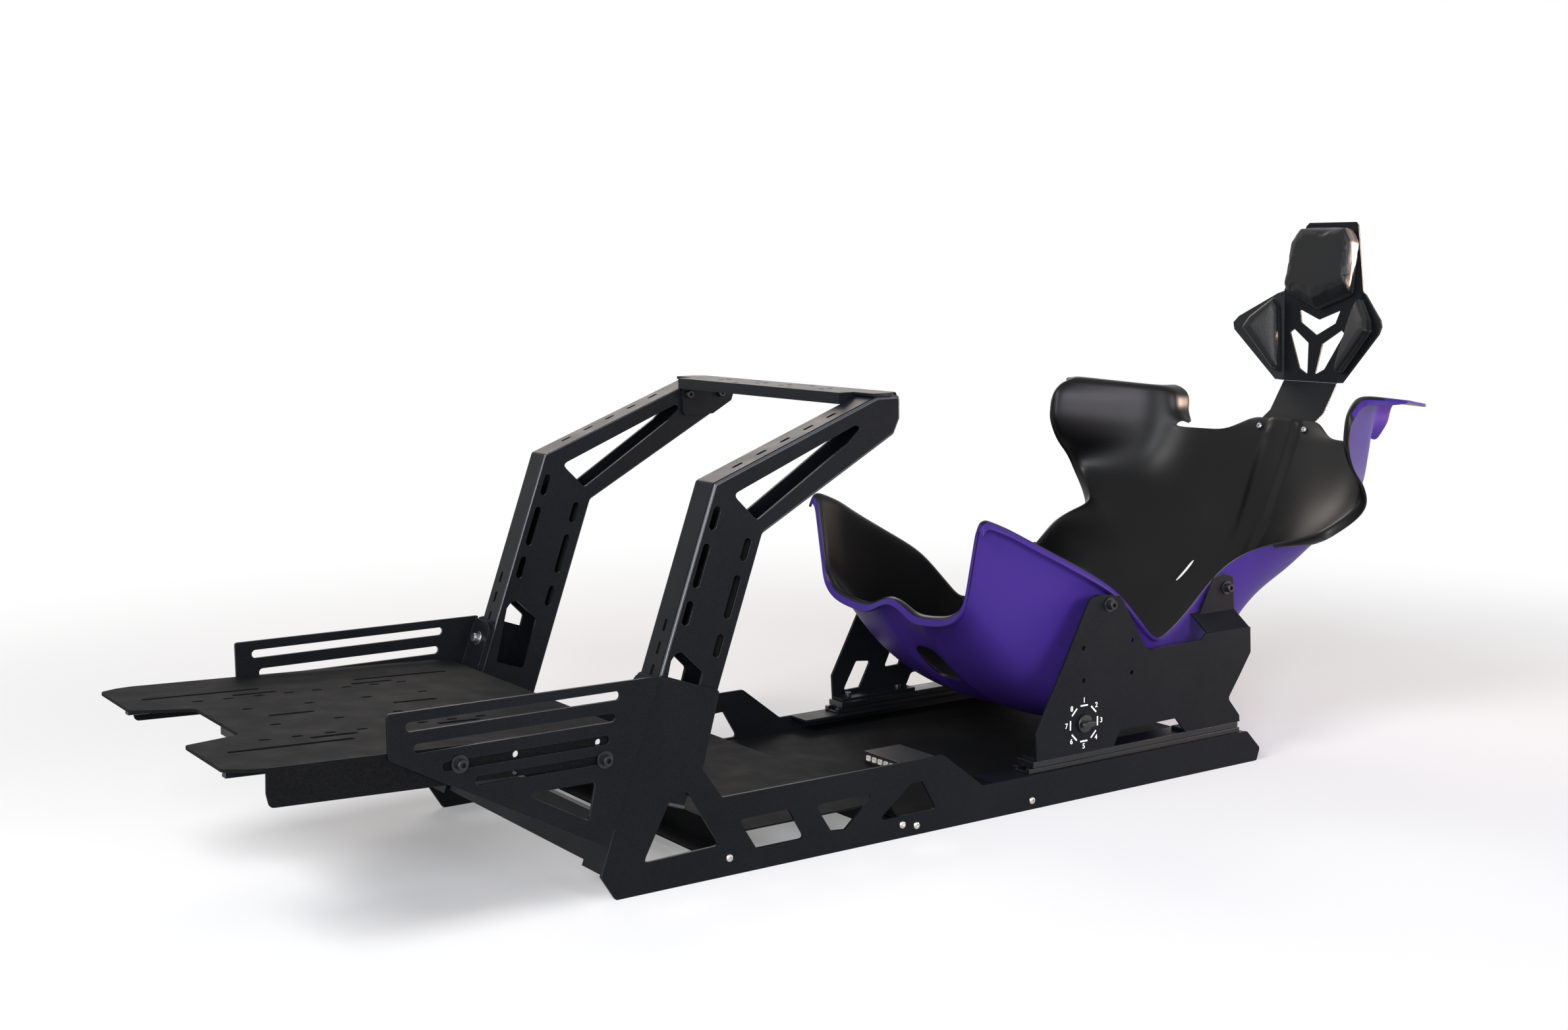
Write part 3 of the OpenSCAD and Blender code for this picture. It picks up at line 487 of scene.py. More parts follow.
# Moulded ABS of the knob: fine spark texture, greasy where fingers turn it
KNOB = MouldedPlastic("knob_abs", "#0b0b0d", 0.4)
# Moulded ABS of the control box: the same texture, duller
BOX = MouldedPlastic("box_abs", "#101012", 0.5)
# Uncoloured nylon of the connectors: milky off-white
NYLON = MouldedPlastic("natural_nylon", "#d9d5cc", 0.45)
# Screen-printed ink: flat white with a just visible edge
INK = MouldedPlastic("white_screen_ink", "#e9e9e6", 0.6, bite=0.05)


# Mesh helpers


def new_object(name: str, data: bpy.types.ID) -> bpy.types.Object:
    """Makes an object for some data and links it to the scene."""
    made = bpy.data.objects.new(name, data)
    bpy.context.scene.collection.objects.link(made)
    return made


def modify(piece: bpy.types.Object, name: str, kind: str, **settings: object) -> bpy.types.Modifier:
    """Adds a modifier with its settings.

    Args:
        piece: The object that gets it.
        name: The modifier's name.
        kind: Its type.
        settings: Its attributes, set in the order given.

    Returns:
        The modifier.
    """
    made = piece.modifiers.new(name, kind)
    for key, value in settings.items():
        setattr(made, key, value)
    return made


def smooth(mesh: bpy.types.Mesh) -> None:
    """Shades every face of a mesh smooth."""
    mesh.polygons.foreach_set("use_smooth", [True] * len(mesh.polygons))


def make_piece(
    name: str,
    points: Iterable[Point],
    faces: Iterable[Sequence[int]],
    finishes: Sequence[Finish],
    smooth_angle: float = 35.0,
) -> bpy.types.Object:
    """Makes a mesh object with its finishes and its normals pointing outwards.

    Args:
        name: The piece's name.
        points: Places in the row frame, in metres.
        faces: Point numbers of each face.
        finishes: One finish for each material slot.
        smooth_angle: Edges sharper than this, in degrees, stay sharp.

    Returns:
        The object, linked to the scene.
    """
    mesh = bpy.data.meshes.new(name)
    mesh.from_pydata([tuple(p) for p in points], [], [tuple(f) for f in faces])
    shape = bmesh.new()
    shape.from_mesh(mesh)
    bmesh.ops.remove_doubles(shape, verts=shape.verts, dist=1e-6)
    bmesh.ops.recalc_face_normals(shape, faces=shape.faces)
    shape.to_mesh(mesh)
    shape.free()
    smooth(mesh)
    mesh.set_sharp_from_angle(angle=math.radians(smooth_angle))
    for finish in finishes:
        mesh.materials.append(finish.build())
    return new_object(name, mesh)


def settle(piece: bpy.types.Object) -> bpy.types.Object:
    """Turns a piece's modifiers into its plain mesh."""
    graph = bpy.context.evaluated_depsgraph_get()
    mesh = bpy.data.meshes.new_from_object(
        piece.evaluated_get(graph), preserve_all_data_layers=True, depsgraph=graph
    )
    piece.modifiers.clear()
    old, piece.data = piece.data, mesh
    bpy.data.meshes.remove(old)
    return piece


def hand_over(piece: bpy.types.Object, body: str) -> bpy.types.Object:
    """Makes a piece ride on its body.

    Args:
        piece: The piece.
        body: The body's name.

    Returns:
        The same piece.
    """
    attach(piece, body)
    return piece


def vectors(mesh: bpy.types.Mesh, kind: str = "co") -> np.ndarray:
    """Reads one vector for each point of a mesh.

    Args:
        mesh: The mesh.
        kind: "co" for the places or "normal" for the normals.

    Returns:
        An array with a row for each point.
    """
    values = np.empty(len(mesh.vertices) * 3)
    mesh.vertices.foreach_get(kind, values)
    return values.reshape(-1, 3)


def move_points(mesh: bpy.types.Mesh, places: np.ndarray) -> None:
    """Sets the places of a mesh's points."""
    mesh.vertices.foreach_set("co", places.ravel())
    mesh.update()


def bands(rings: int, count: int, first: int = 0) -> list[list[int]]:
    """Gives the faces between closed rings of points that are numbered one ring after another.

    Args:
        rings: How many rings there are.
        count: Points on each ring.
        first: Number of the first point.

    Returns:
        Four point numbers for each face.
    """
    return [
        [low + k, low + (k + 1) % count, low + count + (k + 1) % count, low + count + k]
        for low in range(first, first + (rings - 1) * count, count)
        for k in range(count)
    ]


def turned_rings(profile: Sequence[tuple[float, float]], sides: int) -> tuple[list[Vector], list[list[int]]]:
    """Lofts circles of the given radii and heights, closed at the foot.

    Args:
        profile: Radius and height of each ring.
        sides: Points on each ring.

    Returns:
        Points and faces.
    """
    points = [
        Vector((r * math.cos(2 * math.pi * k / sides), r * math.sin(2 * math.pi * k / sides), z))
        for r, z in profile
        for k in range(sides)
    ]
    return points, bands(len(profile), sides) + [list(range(sides))[::-1]]


def socket_head(
    profile: Sequence[tuple[float, float]], hex_width: float, depth: float
) -> tuple[list[Vector], list[list[int]]]:
    """Makes a turned head with a hexagonal recess in its top.

    Args:
        profile: Radius and height of each ring from the foot to the rim of the recess.
        hex_width: Width of the recess across its corners.
        depth: Depth of the recess.

    Returns:
        Points and faces of the closed head.
    """
    sides = 24
    points, faces = turned_rings(profile, sides)
    top = profile[-1][1]
    first = len(points)
    for z in (top, top - depth):
        for k in range(sides):
            angle = 2 * math.pi * k / sides
            # Distance of a hexagon's side at this angle
            reach = hex_width / 2 * math.cos(math.pi / 6) / math.cos((angle % (math.pi / 3)) - math.pi / 6)
            points.append(Vector((reach * math.cos(angle), reach * math.sin(angle), z)))
    faces += bands(3, sides, first - sides)
    faces.append([first + sides + k for k in range(sides)])
    return points, faces


class Head(Enum):
    """Shapes of fastener with a head 1 metre wide, seated at z = 0: rings, socket width and socket depth."""

    CAP = (((0.5, 0.0), (0.5, 0.5), (0.47, 0.57), (0.42, 0.6), (0.35, 0.6)), 0.5, 0.34)
    BUTTON = (((0.5, 0.0), (0.5, 0.04), (0.47, 0.14), (0.4, 0.22), (0.32, 0.265), (0.29, 0.27)), 0.42, 0.16)
    WASHERED = (
        (
            (0.78, 0.0), (0.8, 0.02), (0.8, 0.12), (0.78, 0.14), (0.5, 0.14),
            (0.5, 0.64), (0.47, 0.71), (0.42, 0.74), (0.35, 0.74),
        ),
        0.5, 0.34,
    )
    NUT = (((0.5, 0.0), (0.5, 0.4), (0.46, 0.44), (0.33, 0.44)), 0.52, 0.3)


class PieceTree:
    """A Geometry Nodes tree with named inputs, whose result becomes one piece with a plain mesh."""

    NAME: str
    INPUTS: dict[str, str]

    def __init__(self) -> None:
        """Builds the tree once, with its sockets."""
        self.tree = bpy.data.node_groups.get(self.NAME)
        if self.tree is None:
            self.tree = bpy.data.node_groups.new(self.NAME, "GeometryNodeTree")
            for name, kind in self.INPUTS.items():
                self.tree.interface.new_socket(name=name, in_out="INPUT", socket_type=f"NodeSocket{kind}")
            self.tree.interface.new_socket(name="Made", in_out="OUTPUT", socket_type="NodeSocketGeometry")
            start = add_node(self.tree, "NodeGroupInput")
            instances = self.wire(self.tree, start.outputs)
            solid = add_node(self.tree, "GeometryNodeRealizeInstances", None, {"Geometry": instances})
            dressed = add_node(
                self.tree, "GeometryNodeSetMaterial", None,
                {"Geometry": solid.outputs["Geometry"], "Material": start.outputs["Finish"]},
            )
            add_node(self.tree, "NodeGroupOutput", None, {"Made": dressed.outputs["Geometry"]})

    def wire(self, tree: bpy.types.NodeTree, start: bpy.types.NodeOutputs) -> bpy.types.NodeSocket:
        """Adds the nodes between the inputs and the instances.

        Args:
            tree: The tree that gets them.
            start: The sockets of the tree's inputs.

        Returns:
            The socket of the instances.
        """
        raise NotImplementedError

    def run(self, name: str, mesh: bpy.types.Mesh, values: dict[str, object]) -> bpy.types.Object:
        """Runs the tree on a mesh.

        Args:
            name: The piece's name.
            mesh: The mesh that goes in.
            values: The other inputs by name.

        Returns:
            The piece with its tree settled into a plain mesh.
        """
        piece = new_object(name, mesh)
        modifier = modify(piece, "Made", "NODES", node_group=self.tree)
        for socket in self.tree.interface.items_tree:
            if socket.in_out == "INPUT" and socket.name in values:
                modifier[socket.identifier] = values[socket.name]
        return settle(piece)


class FastenerTree(PieceTree):
    """Sets one fastener on each point, facing the way the point says, with its socket at a random turn."""

    NAME = "set_fasteners"
    INPUTS = {
        "Points": "Geometry", "Fastener": "Object", "Head width": "Float", "Turn seed": "Int",
        "Finish": "Material",
    }
    FULL_TURN = 6.283

    def wire(self, tree: bpy.types.NodeTree, start: bpy.types.NodeOutputs) -> bpy.types.NodeSocket:
        """Adds the nodes that turn and place the fasteners.

        Args:
            tree: The tree that gets them.
            start: The sockets of the tree's inputs.

        Returns:
            The socket of the instances.
        """
        facing = add_node(
            tree, "GeometryNodeInputNamedAttribute", {"data_type": "FLOAT_VECTOR"}, {"Name": "facing"}
        )
        aligned = add_node(
            tree, "FunctionNodeAlignRotationToVector", {"axis": "Z"}, {"Vector": facing.outputs["Attribute"]}
        )
        turn = add_node(tree, "FunctionNodeRandomValue", {"data_type": "FLOAT"}, {"Seed": start["Turn seed"]})
        turn.inputs[3].default_value = self.FULL_TURN
        spun = add_node(
            tree, "FunctionNodeAxisAngleToRotation", None, {"Axis": (0.0, 0.0, 1.0), "Angle": turn.outputs[1]}
        )
        rotation = add_node(
            tree, "FunctionNodeRotateRotation", {"rotation_space": "LOCAL"},
            {"Rotation": aligned.outputs["Rotation"], "Rotate By": spun.outputs["Rotation"]},
        )
        template = add_node(tree, "GeometryNodeObjectInfo", None, {"Object": start["Fastener"]})
        placed = add_node(
            tree, "GeometryNodeInstanceOnPoints", None,
            {
                "Points": start["Points"], "Instance": template.outputs["Geometry"],
                "Rotation": rotation.outputs["Rotation"], "Scale": start["Head width"],
            },
        )
        return placed.outputs["Instances"]

    def set_on(
        self,
        name: str,
        head: Head,
        width: float,
        places: Sequence[Point],
        facings: Sequence[Point],
        finish: Finish,
    ) -> bpy.types.Object:
        """Makes one piece that holds a fastener at each place.

        Args:
            name: The piece's name.
            head: Shape of the fastener.
            width: Width of its head, in metres.
            places: Where each one is seated.
            facings: The way each head faces.
            finish: Its finish.

        Returns:
            The piece.
        """
        points, faces = socket_head(*head.value)
        template = make_piece(f"{name}_template", points, faces, [finish], 30.0)
        mesh = bpy.data.meshes.new(name)
        mesh.from_pydata([tuple(p) for p in places], [], [])
        facing = mesh.attributes.new("facing", "FLOAT_VECTOR", "POINT")
        facing.data.foreach_set("vector", [c for f in facings for c in Vector(f).normalized()])
        values = {"Fastener": template, "Head width": width, "Turn seed": len(name), "Finish": finish.build()}
        piece = self.run(name, mesh, values)
        bpy.data.objects.remove(template)
        return piece


class StitchTree(PieceTree):
    """Lays short stitches at an even pitch along a seam's line."""

    NAME = "lay_stitches"
    INPUTS = {"Seam": "Geometry", "Pitch": "Float", "Thread radius": "Float", "Finish": "Material"}

    def wire(self, tree: bpy.types.NodeTree, start: bpy.types.NodeOutputs) -> bpy.types.NodeSocket:
        """Adds the nodes that place the stitches.

        Args:
            tree: The tree that gets them.
            start: The sockets of the tree's inputs.

        Returns:
            The socket of the instances.
        """
        line = add_node(tree, "GeometryNodeMeshToCurve", None, {"Mesh": start["Seam"]})
        even = add_node(
            tree, "GeometryNodeCurveToPoints", {"mode": "LENGTH"},
            {"Curve": line.outputs["Curve"], "Length": start["Pitch"]},
        )
        ball = add_node(
            tree, "GeometryNodeMeshIcoSphere", None, {"Radius": start["Thread radius"], "Subdivisions": 2}
        )
        placed = add_node(
            tree, "GeometryNodeInstanceOnPoints", None,
            {
                "Points": even.outputs["Points"], "Instance": ball.outputs["Mesh"],
                "Rotation": even.outputs["Rotation"], "Scale": (1.0, 1.0, 3.6),
            },
        )
        return placed.outputs["Instances"]

    def lay(
        self, name: str, seam: Sequence[Point], pitch: float, radius: float, finish: Finish
    ) -> bpy.types.Object:
        """Makes one piece that holds the stitches of a closed seam.

        Args:
            name: The piece's name.
            seam: Points of the seam's line.
            pitch: Distance from stitch to stitch, in metres.
            radius: Radius of the thread.
            finish: The thread's finish.

        Returns:
            The piece.
        """
        mesh = bpy.data.meshes.new(name)
        count = len(seam)
        mesh.from_pydata([tuple(p) for p in seam], [(k, (k + 1) % count) for k in range(count)], [])
        piece = self.run(name, mesh, {"Pitch": pitch, "Thread radius": radius, "Finish": finish.build()})
        smooth(piece.data)
        return piece


# Sub-assemblies


@dataclass
class SheetMetal:
    """Folded sheet parts: every carried-over steel node gets its coat and rounded edges."""

    nodes: dict[str, bpy.types.Object]
    edge: float = 0.0007
    fold: float = 0.0032
    tower_fold: float = 0.0055
    pairs: tuple[str, ...] = (
        "side_plate", "upright_channel", "upright_cover", "tray_bracket", "seat_bracket", "slide_rail",
        "slide_carriage",
    )
    singles: tuple[str, ...] = (
        "front_crossmember", "mid_crossmember", "rear_crossmember", "wheel_deck", "tray_ribs",
        "headrest_neck", "headrest_plate", "floor_panel_front", "floor_pan_rear", "pedal_tray",
    )

    def round_edges(self, name: str, fold_test: Callable[[Vector], bool] | None, sharpest: float) -> None:
        """Rounds a node's cut edges, and its folds more widely, with modifiers.

        Args:
            name: The node's name.
            fold_test: Says whether a point lies on the outer line of a fold.
            sharpest: The least angle between two faces whose edge is rounded, in degrees.
        """
        node = self.nodes[name]
        modify(node, "Weld", "WELD", merge_threshold=WELD)
        modify(node, "Flat faces", "DECIMATE", decimate_type="DISSOLVE", angle_limit=math.radians(0.3))
        if name.startswith("upright"):
            # A face with many slots joins them by cuts; new cuts keep clear of the folds, and no slot closes
            modify(node, "Split faces", "TRIANGULATE", ngon_method="BEAUTY")
            modify(node, "Join faces", "DECIMATE", decimate_type="DISSOLVE", angle_limit=0.005)
        # Both bevels give their rounded faces slot 1, which on most nodes holds the paler powder: a painted
        # highlight along the folds and cut edges
        if fold_test is not None:
            group = node.vertex_groups.new(name="fold")
            group.add([v.index for v in node.data.vertices if fold_test(v.co)], 1.0, "REPLACE")
            width = self.tower_fold if name.startswith("side_plate") else self.fold
            modify(
                node, "Fold", "BEVEL", limit_method="VGROUP", vertex_group="fold", width=width, segments=5,
                material=1,
            )
        modify(
            node, "Cut edges", "BEVEL", limit_method="ANGLE", angle_limit=math.radians(sharpest),
            width=self.edge if sharpest > 40 else 2 * self.edge, segments=2, material=1,
        )
        modify(node, "Even normals", "WEIGHTED_NORMAL", keep_sharp=False, weight=80)

    def coat(self, name: str, face: Finish, edge: Finish) -> None:
        """Gives a node the finish of its faces and of its rounded edges."""
        node = self.nodes[name]
        node.material_slots[0].material = face.build()
        node.data.materials.append(edge.build())

    def build(self) -> list[bpy.types.Object]:
        """Coats every sheet part, rounds its edges and gives the nodes."""
        def tower_corner(p: Vector) -> bool:
            """Says whether a point is on the outer corner of the tower's front fold."""
            x, z = p.x / MM + MID_X, p.z / MM
            v = (x - FOOT[0]) * math.cos(LEAN) - (z - FOOT[1]) * math.sin(LEAN)
            return abs(v) < 0.2 and abs(p.y) > 0.2499

        def tray_corner(p: Vector) -> bool:
            """Says whether a point is on the long top corners of the pedal tray."""
            x, z = p.x / MM + MID_X - TRAY_END, p.z / MM - TRAY_Z
            up = x * math.sin(TRAY_TILT) + z * math.cos(TRAY_TILT)
            return abs(up) < 0.3 and abs(p.y) > 0.2498

        outline = upright_outline()

        def upright_corner(p: Vector) -> bool:
            """Says whether a point is on the outline of an upright's inner or outer face."""
            at = (p.x / MM + MID_X, p.z / MM)
            side = min(abs(abs(p.y) - 0.201), abs(abs(p.y) - 0.246))
            return side < 0.0002 and min(to_segment(at, a, b) for a, b in zip(outline, outline[1:])) < 2.6

        folds = {
            "side_plate": tower_corner, "upright_channel": upright_corner, "upright_cover": upright_corner,
            "pedal_tray": tray_corner,
        }
        angles = {"seat_bracket": 30.0, "headrest_plate": 18.0}
        coats = {
            "slide_rail": (ENAMEL, ENAMEL), "slide_carriage": (ENAMEL, ENAMEL),
            "pedal_tray": (COAT_FLOOR, COAT_EDGE_HIGHLIGHT), "floor_panel_front": (COAT_FLOOR, COAT_EDGE_HIGHLIGHT),
            "floor_pan_rear": (COAT_FLOOR, COAT_EDGE_HIGHLIGHT),
        }
        named = [(stem, f"{stem}_{side}") for stem in self.pairs for side in ("left", "right")]
        for stem, name in named + [(single, single) for single in self.singles]:
            self.coat(name, *coats.get(stem, (COAT, COAT_EDGE_HIGHLIGHT)))
            self.round_edges(name, folds.get(stem), angles.get(stem, 50.0))
        return [self.nodes[name] for _, name in named]


@dataclass
class Fasteners:
    """Every screw, bolt and washer, one piece for each kind and body. Places are in drawing millimetres."""

    tree: FastenerTree
    wall_screws: tuple[Point, ...] = ((-337, 23), (-62, 18), (-38, 13), (168, 13))
    flange_rises: tuple[float, float] = (92, 222)
    ear_bolts: tuple[Point, ...] = ((-113, 573), (-58, 573))
    tray_bolts: tuple[Point, ...] = ((-212, -21), (-23, -38))
    front_bolt: Point = (315, 276)
    rear_bolt: Point = (590, 268)
    foot_bolts: tuple[float, ...] = (200, 300, 500, 566)
    foot_top: float = 70
    # Distances of the seats from the middle plane
    wall_face: float = 250
    flange_middle: float = 224
    ear_face: float = 196.7
    clamp_face: float = 254
    clamp_back: float = 246
    front_face: float = 247
    rear_face: float = 214
    foot_middle: float = 230
    # Each spacer starts this far from the middle plane and has this length
    front_spacer: tuple[float, float] = (243, 22.9)
    rear_spacer: tuple[float, float] = (210, 6.0)
    spacer_radius: float = 11.0
    spacer_chamfer: float = 1.2

    def both_sides(
        self, points: Iterable[Point], y: float, outward: float
    ) -> tuple[list[Vector], list[Vector]]:
        """Mirrors points on an upright plate to both sides.

        Args:
            points: Drawing x and z of each.
            y: Distance of the seat from the middle.
            outward: 1 where the heads face outward, -1 inward.

        Returns:
            Places and facings.
        """
        places, facings = [], []
        for side in (-1, 1):
            for x, z in points:
                places.append(place(x, side * y, z))
                facings.append(Vector((0, side * outward, 0)))
        return places, facings

    def chassis(self) -> list[bpy.types.Object]:
        """Sets the screws of the low walls, the bolts of the towers' flanges and those of the deck's ears."""
        places, facings = self.both_sides(self.wall_screws, self.wall_face, 1)
        screws = self.tree.set_on("wall_screws", Head.BUTTON, 0.0105, places, facings, BRIGHT)
        seats = [on_lean(u, -4) for u in self.flange_rises]
        places = self.both_sides(seats, self.flange_middle, 1)[0]
        forward = Vector((-math.cos(LEAN), 0, math.sin(LEAN)))
        flange = self.tree.set_on("tower_flange_bolts", Head.WASHERED, 0.0125, places, [forward] * 4, ZINC)
        places, facings = self.both_sides(self.ear_bolts, self.ear_face, -1)
        ears = self.tree.set_on("deck_ear_bolts", Head.CAP, 0.012, places, facings, OXIDE)
        return [hand_over(piece, "chassis") for piece in (screws, flange, ears)]

    def tray_clamps(self) -> list[bpy.types.Object]:
        """Replaces the tray's four plain bolts with headed ones and sets their nuts."""
        seats = [on_tray(x, z) for x, z in self.tray_bolts]
        places, facings = self.both_sides(seats, self.clamp_face, 1)
        clamps = self.tree.set_on("tray_clamp_bolts", Head.WASHERED, 0.0135, places, facings, OXIDE)
        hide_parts("tray_bolts")
        places, facings = self.both_sides(seats, self.clamp_back, -1)
        nuts = self.tree.set_on("tray_clamp_nuts", Head.NUT, 0.015, places, facings, ZINC)
        return [hand_over(piece, "chassis") for piece in (clamps, nuts)]

    def seat(self) -> list[bpy.types.Object]:
        """Sets the seat brackets' bolts, their spacers and the foot bolts."""
        places, facings = self.both_sides([self.front_bolt], self.front_face, 1)
        rear_places, rear_facings = self.both_sides([self.rear_bolt], self.rear_face, 1)
        heads = self.tree.set_on(
            "seat_side_bolts", Head.WASHERED, 0.0135, places + rear_places, facings + rear_facings, OXIDE
        )
        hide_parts("seat_spacers")
        points: list[Vector] = []
        faces: list[list[int]] = []
        big, cut = self.spacer_radius, self.spacer_chamfer
        for (x, z), (y, length) in ((self.front_bolt, self.front_spacer), (self.rear_bolt, self.rear_spacer)):
            rings = [(big - 2, 0), (big, cut), (big, length - cut), (big - 2, length), (0.01, length)]
            for side in (-1, 1):
                turned, sides = turned_rings([(r * MM, h * MM) for r, h in rings], 40)
                faces += [[len(points) + k for k in f] for f in sides]
                points += [place(x, side * y, z) + Vector((p.x, -side * p.z, p.y)) for p in turned]
        spacers = make_piece("seat_side_spacers", points, faces, [OXIDE], 40.0)
        places = self.both_sides([(x, self.foot_top) for x in self.foot_bolts], self.foot_middle, 1)[0]
        upward = [Vector((0, 0, 1))] * len(places)
        feet = self.tree.set_on("seat_foot_bolts", Head.CAP, 0.011, places, upward, OXIDE)
        return [hand_over(piece, "seat") for piece in (heads, spacers, feet)]

    def build(self) -> list[bpy.types.Object]:
        """Makes every fastener's piece and gives them."""
        return self.chassis() + self.tray_clamps() + self.seat()


@dataclass
class SeatShell:
    """The moulded bucket: a loft through cross sections, thickened, with rolled lips, a strap hole and slits.

    Rows run from the front edge, 0, up to the top of the shoulders. Columns run from the middle to the rim
    and are negative on the driver's left. Lengths are in millimetres.
    """

    # Each row: middle x, middle z, corner y, corner x, corner z, rim y, rim x, rim z
    sections: tuple[tuple[float, ...], ...] = (
        (118, 250, 165, 118, 262, 197, 120, 408),
        (150, 205, 172, 152, 222, 199, 160, 392),
        (200, 150, 180, 200, 168, 209, 203, 368),
        (262, 104, 188, 262, 121, 220, 277, 329),
        (330, 75, 193, 332, 88, 223, 347, 288),
        (400, 60, 196, 400, 68, 222, 402, 230),
        (470, 58, 198, 465, 64, 221, 440, 203),
        (540, 72, 197, 530, 80, 208.5, 515, 236),
        (620, 100, 186, 603, 128, 204, 582, 287),
        (690, 142, 168, 668, 192, 218, 637, 318),
        (752, 186, 160, 720, 232, 238, 700, 331),
        (808, 224, 162, 770, 260, 252, 745, 340),
        (849, 262, 170, 808, 294, 270, 762, 355),
        (883, 312, 191, 846, 334, 296, 774, 378),
        (905, 360, 210, 875, 370, 314, 774, 402),
        (924, 404, 220, 897, 408, 320, 760, 430),
        (940, 440, 225, 909, 440, 320, 737, 455),
        (951, 466, 227, 917, 466, 320, 723, 485),
        (957, 489, 230, 920, 490, 320, 723, 509),
        (962, 512, 232, 922, 514, 320, 728, 534),
        (966, 532, 233, 924, 534, 321, 745, 558),
    )
    steps: int = 2
    wall: float = 4.0
    # Width of the bevel on the wall's edges, in metres
    edge: float = 0.0011
    hump: float = 23.0
    hump_half: float = 64.0
    lip: float = 15.0
    shoulder: float = 68.0
    shelf: tuple[float, float, float] = (0.5, 0.9, -0.1)
    tab_half: float = 75.0
    tab_top: float = 489.0
    tab_col: int = 3
    # Columns of the flat middle, the bend and the side
    cols: tuple[int, int, int] = (4, 4, 4)
    hump_rows: int = 10
    hip_row: int = 19
    slit_rows: tuple[int, int] = (21, 23)
    slit_cols: tuple[int, int] = (2, 3)
    strap_rows: tuple[int, int] = (3, 5)
    corner_in: float = 0.36
    corner_out: float = 0.3
    grid: dict[tuple[int, int], int] = field(default_factory=dict)

    @property
    def last(self) -> int:
        """Number of the last row on the sections."""
        return (len(self.sections) - 1) * self.steps

    @property
    def valley(self) -> int:
        """Row of the edge between the shoulders."""
        return 17 * self.steps

    @property
    def rim(self) -> int:
        """Column of the rim."""
        return sum(self.cols)

    @property
    def notch_col(self) -> int:
        """Column of the edge between a notch and its shoulder."""
        return self.cols[0] + self.cols[1] // 2

    def section(self, row: float) -> np.ndarray:
        """Gives the cross section at a row, on a smooth curve through the stated ones."""
        table = np.array(self.sections)
        s = min(max(row, 0), self.last) / self.steps
        n = len(table) - 1
        i = min(n - 1, int(s))
        t = s - i
        a, b, c, d = table[max(0, i - 1)], table[i], table[i + 1], table[min(n, i + 2)]
        square, cube = 2 * a - 5 * b + 4 * c - d, 3 * b - a - 3 * c + d
        return 0.5 * (2 * b + (c - a) * t + square * t**2 + cube * t**3)

    def base(self, row: float, col: float) -> np.ndarray:
        """Gives the outer face's point at a row and a column counted from the middle."""
        v = self.section(row)
        m, k, r = np.array([v[0], 0, v[1]]), np.array([v[3], v[2], v[4]]), np.array([v[6], v[5], v[7]])
        p1, p2 = k + (m - k) * self.corner_in, k + (r - k) * self.corner_out
        flat, bend, side = self.cols
        if col <= flat:
            t = col / flat
            return m + (p1 - m) * np.array([t**1.5, t, t**1.5])
        if col <= flat + bend:
            t = (col - flat) / bend
            return (1 - t) ** 2 * p1 + 2 * t * (1 - t) * k + t * t * p2
        return p2 + (r - p2) * (col - flat - bend) / side

    def roll(self, row: float, over: float) -> np.ndarray:
        """Gives the step from the rim to a point on the rolled lip, narrow where the rear brackets meet it.

        Args:
            row: The row.
            over: 0 at the rim and 1 at the lip's free edge.

        Returns:
            The step in millimetres.
        """
        share = 0.1 + 0.9 * min(1.0, ((row - 15) / 6) ** 2)
        return over * self.lip * share * np.array([0, 1 - 0.35 * share * over, -0.75 * share * over])

    @staticmethod
    def slit_pull(row: float, col: int) -> float:
        """Gives how far the edges of a slit are drawn towards the middle, in columns."""
        return {2: -0.52, 3: 0.26}.get(col, 0.0) * max(0.0, min(1.0, 3 - abs(row - 22) / 1.5))

    def corner_shift(self, row: int, a: float) -> float:
        """Gives how far a shoulder's edge draws in near its round corners, in columns."""
        top = {self.last - 1: 0.12, self.last: 0.7}.get(min(row, self.last), 0.0)
        foot = {self.valley + 1: 0.45, self.valley + 2: 0.1}.get(row, 0.0)
        middle = self.cols[0] + self.cols[1]
        front = max(0.0, a - middle) / self.cols[2]
        back = max(0.0, middle - a) / (middle - self.notch_col)
        return (top - foot) * back - top * front

    def point(self, row: int, col: int) -> np.ndarray:
        """Gives the sheet's point at a row and a column, lips, flanges, tab and hump included."""
        a, above = abs(col), row > self.valley
        if above and a <= self.tab_col:
            foot = self.base(self.valley, 0)
            p = np.array([foot[0] + 9, self.tab_half * a / self.tab_col, self.tab_top])
        else:
            p = self._edge_point(row, a, above)
        if a <= self.rim and row <= self.hump_rows and abs(p[1]) < self.hump_half:
            swell = 0.5 + 0.5 * math.cos(math.pi * p[1] / self.hump_half)
            p = p + np.array([0, 0, self.hump * (max(0.0, 1 - row / self.hump_rows) * swell)])
        return p * np.array([1, -1 if col < 0 else 1, 1])

    def _edge_point(self, row: int, a: int, above: bool) -> np.ndarray:
        """Gives the point at a row and a column of the right half, with the lips and flanges of the edges.

        Args:
            row: The row.
            a: The column.
            above: Whether the row is above the edge between the shoulders.

        Returns:
            The point in millimetres.
        """
        if above:
            along = max(self.notch_col, min(self.rim, a))
            p = self.base(row, along + self.corner_shift(row, along))
        else:
            p = self.base(row, min(self.rim, a - self.slit_pull(row, a)))
        in_notch = min(1.0, (self.notch_col - a) / 2) if above and a < self.notch_col else 0.0
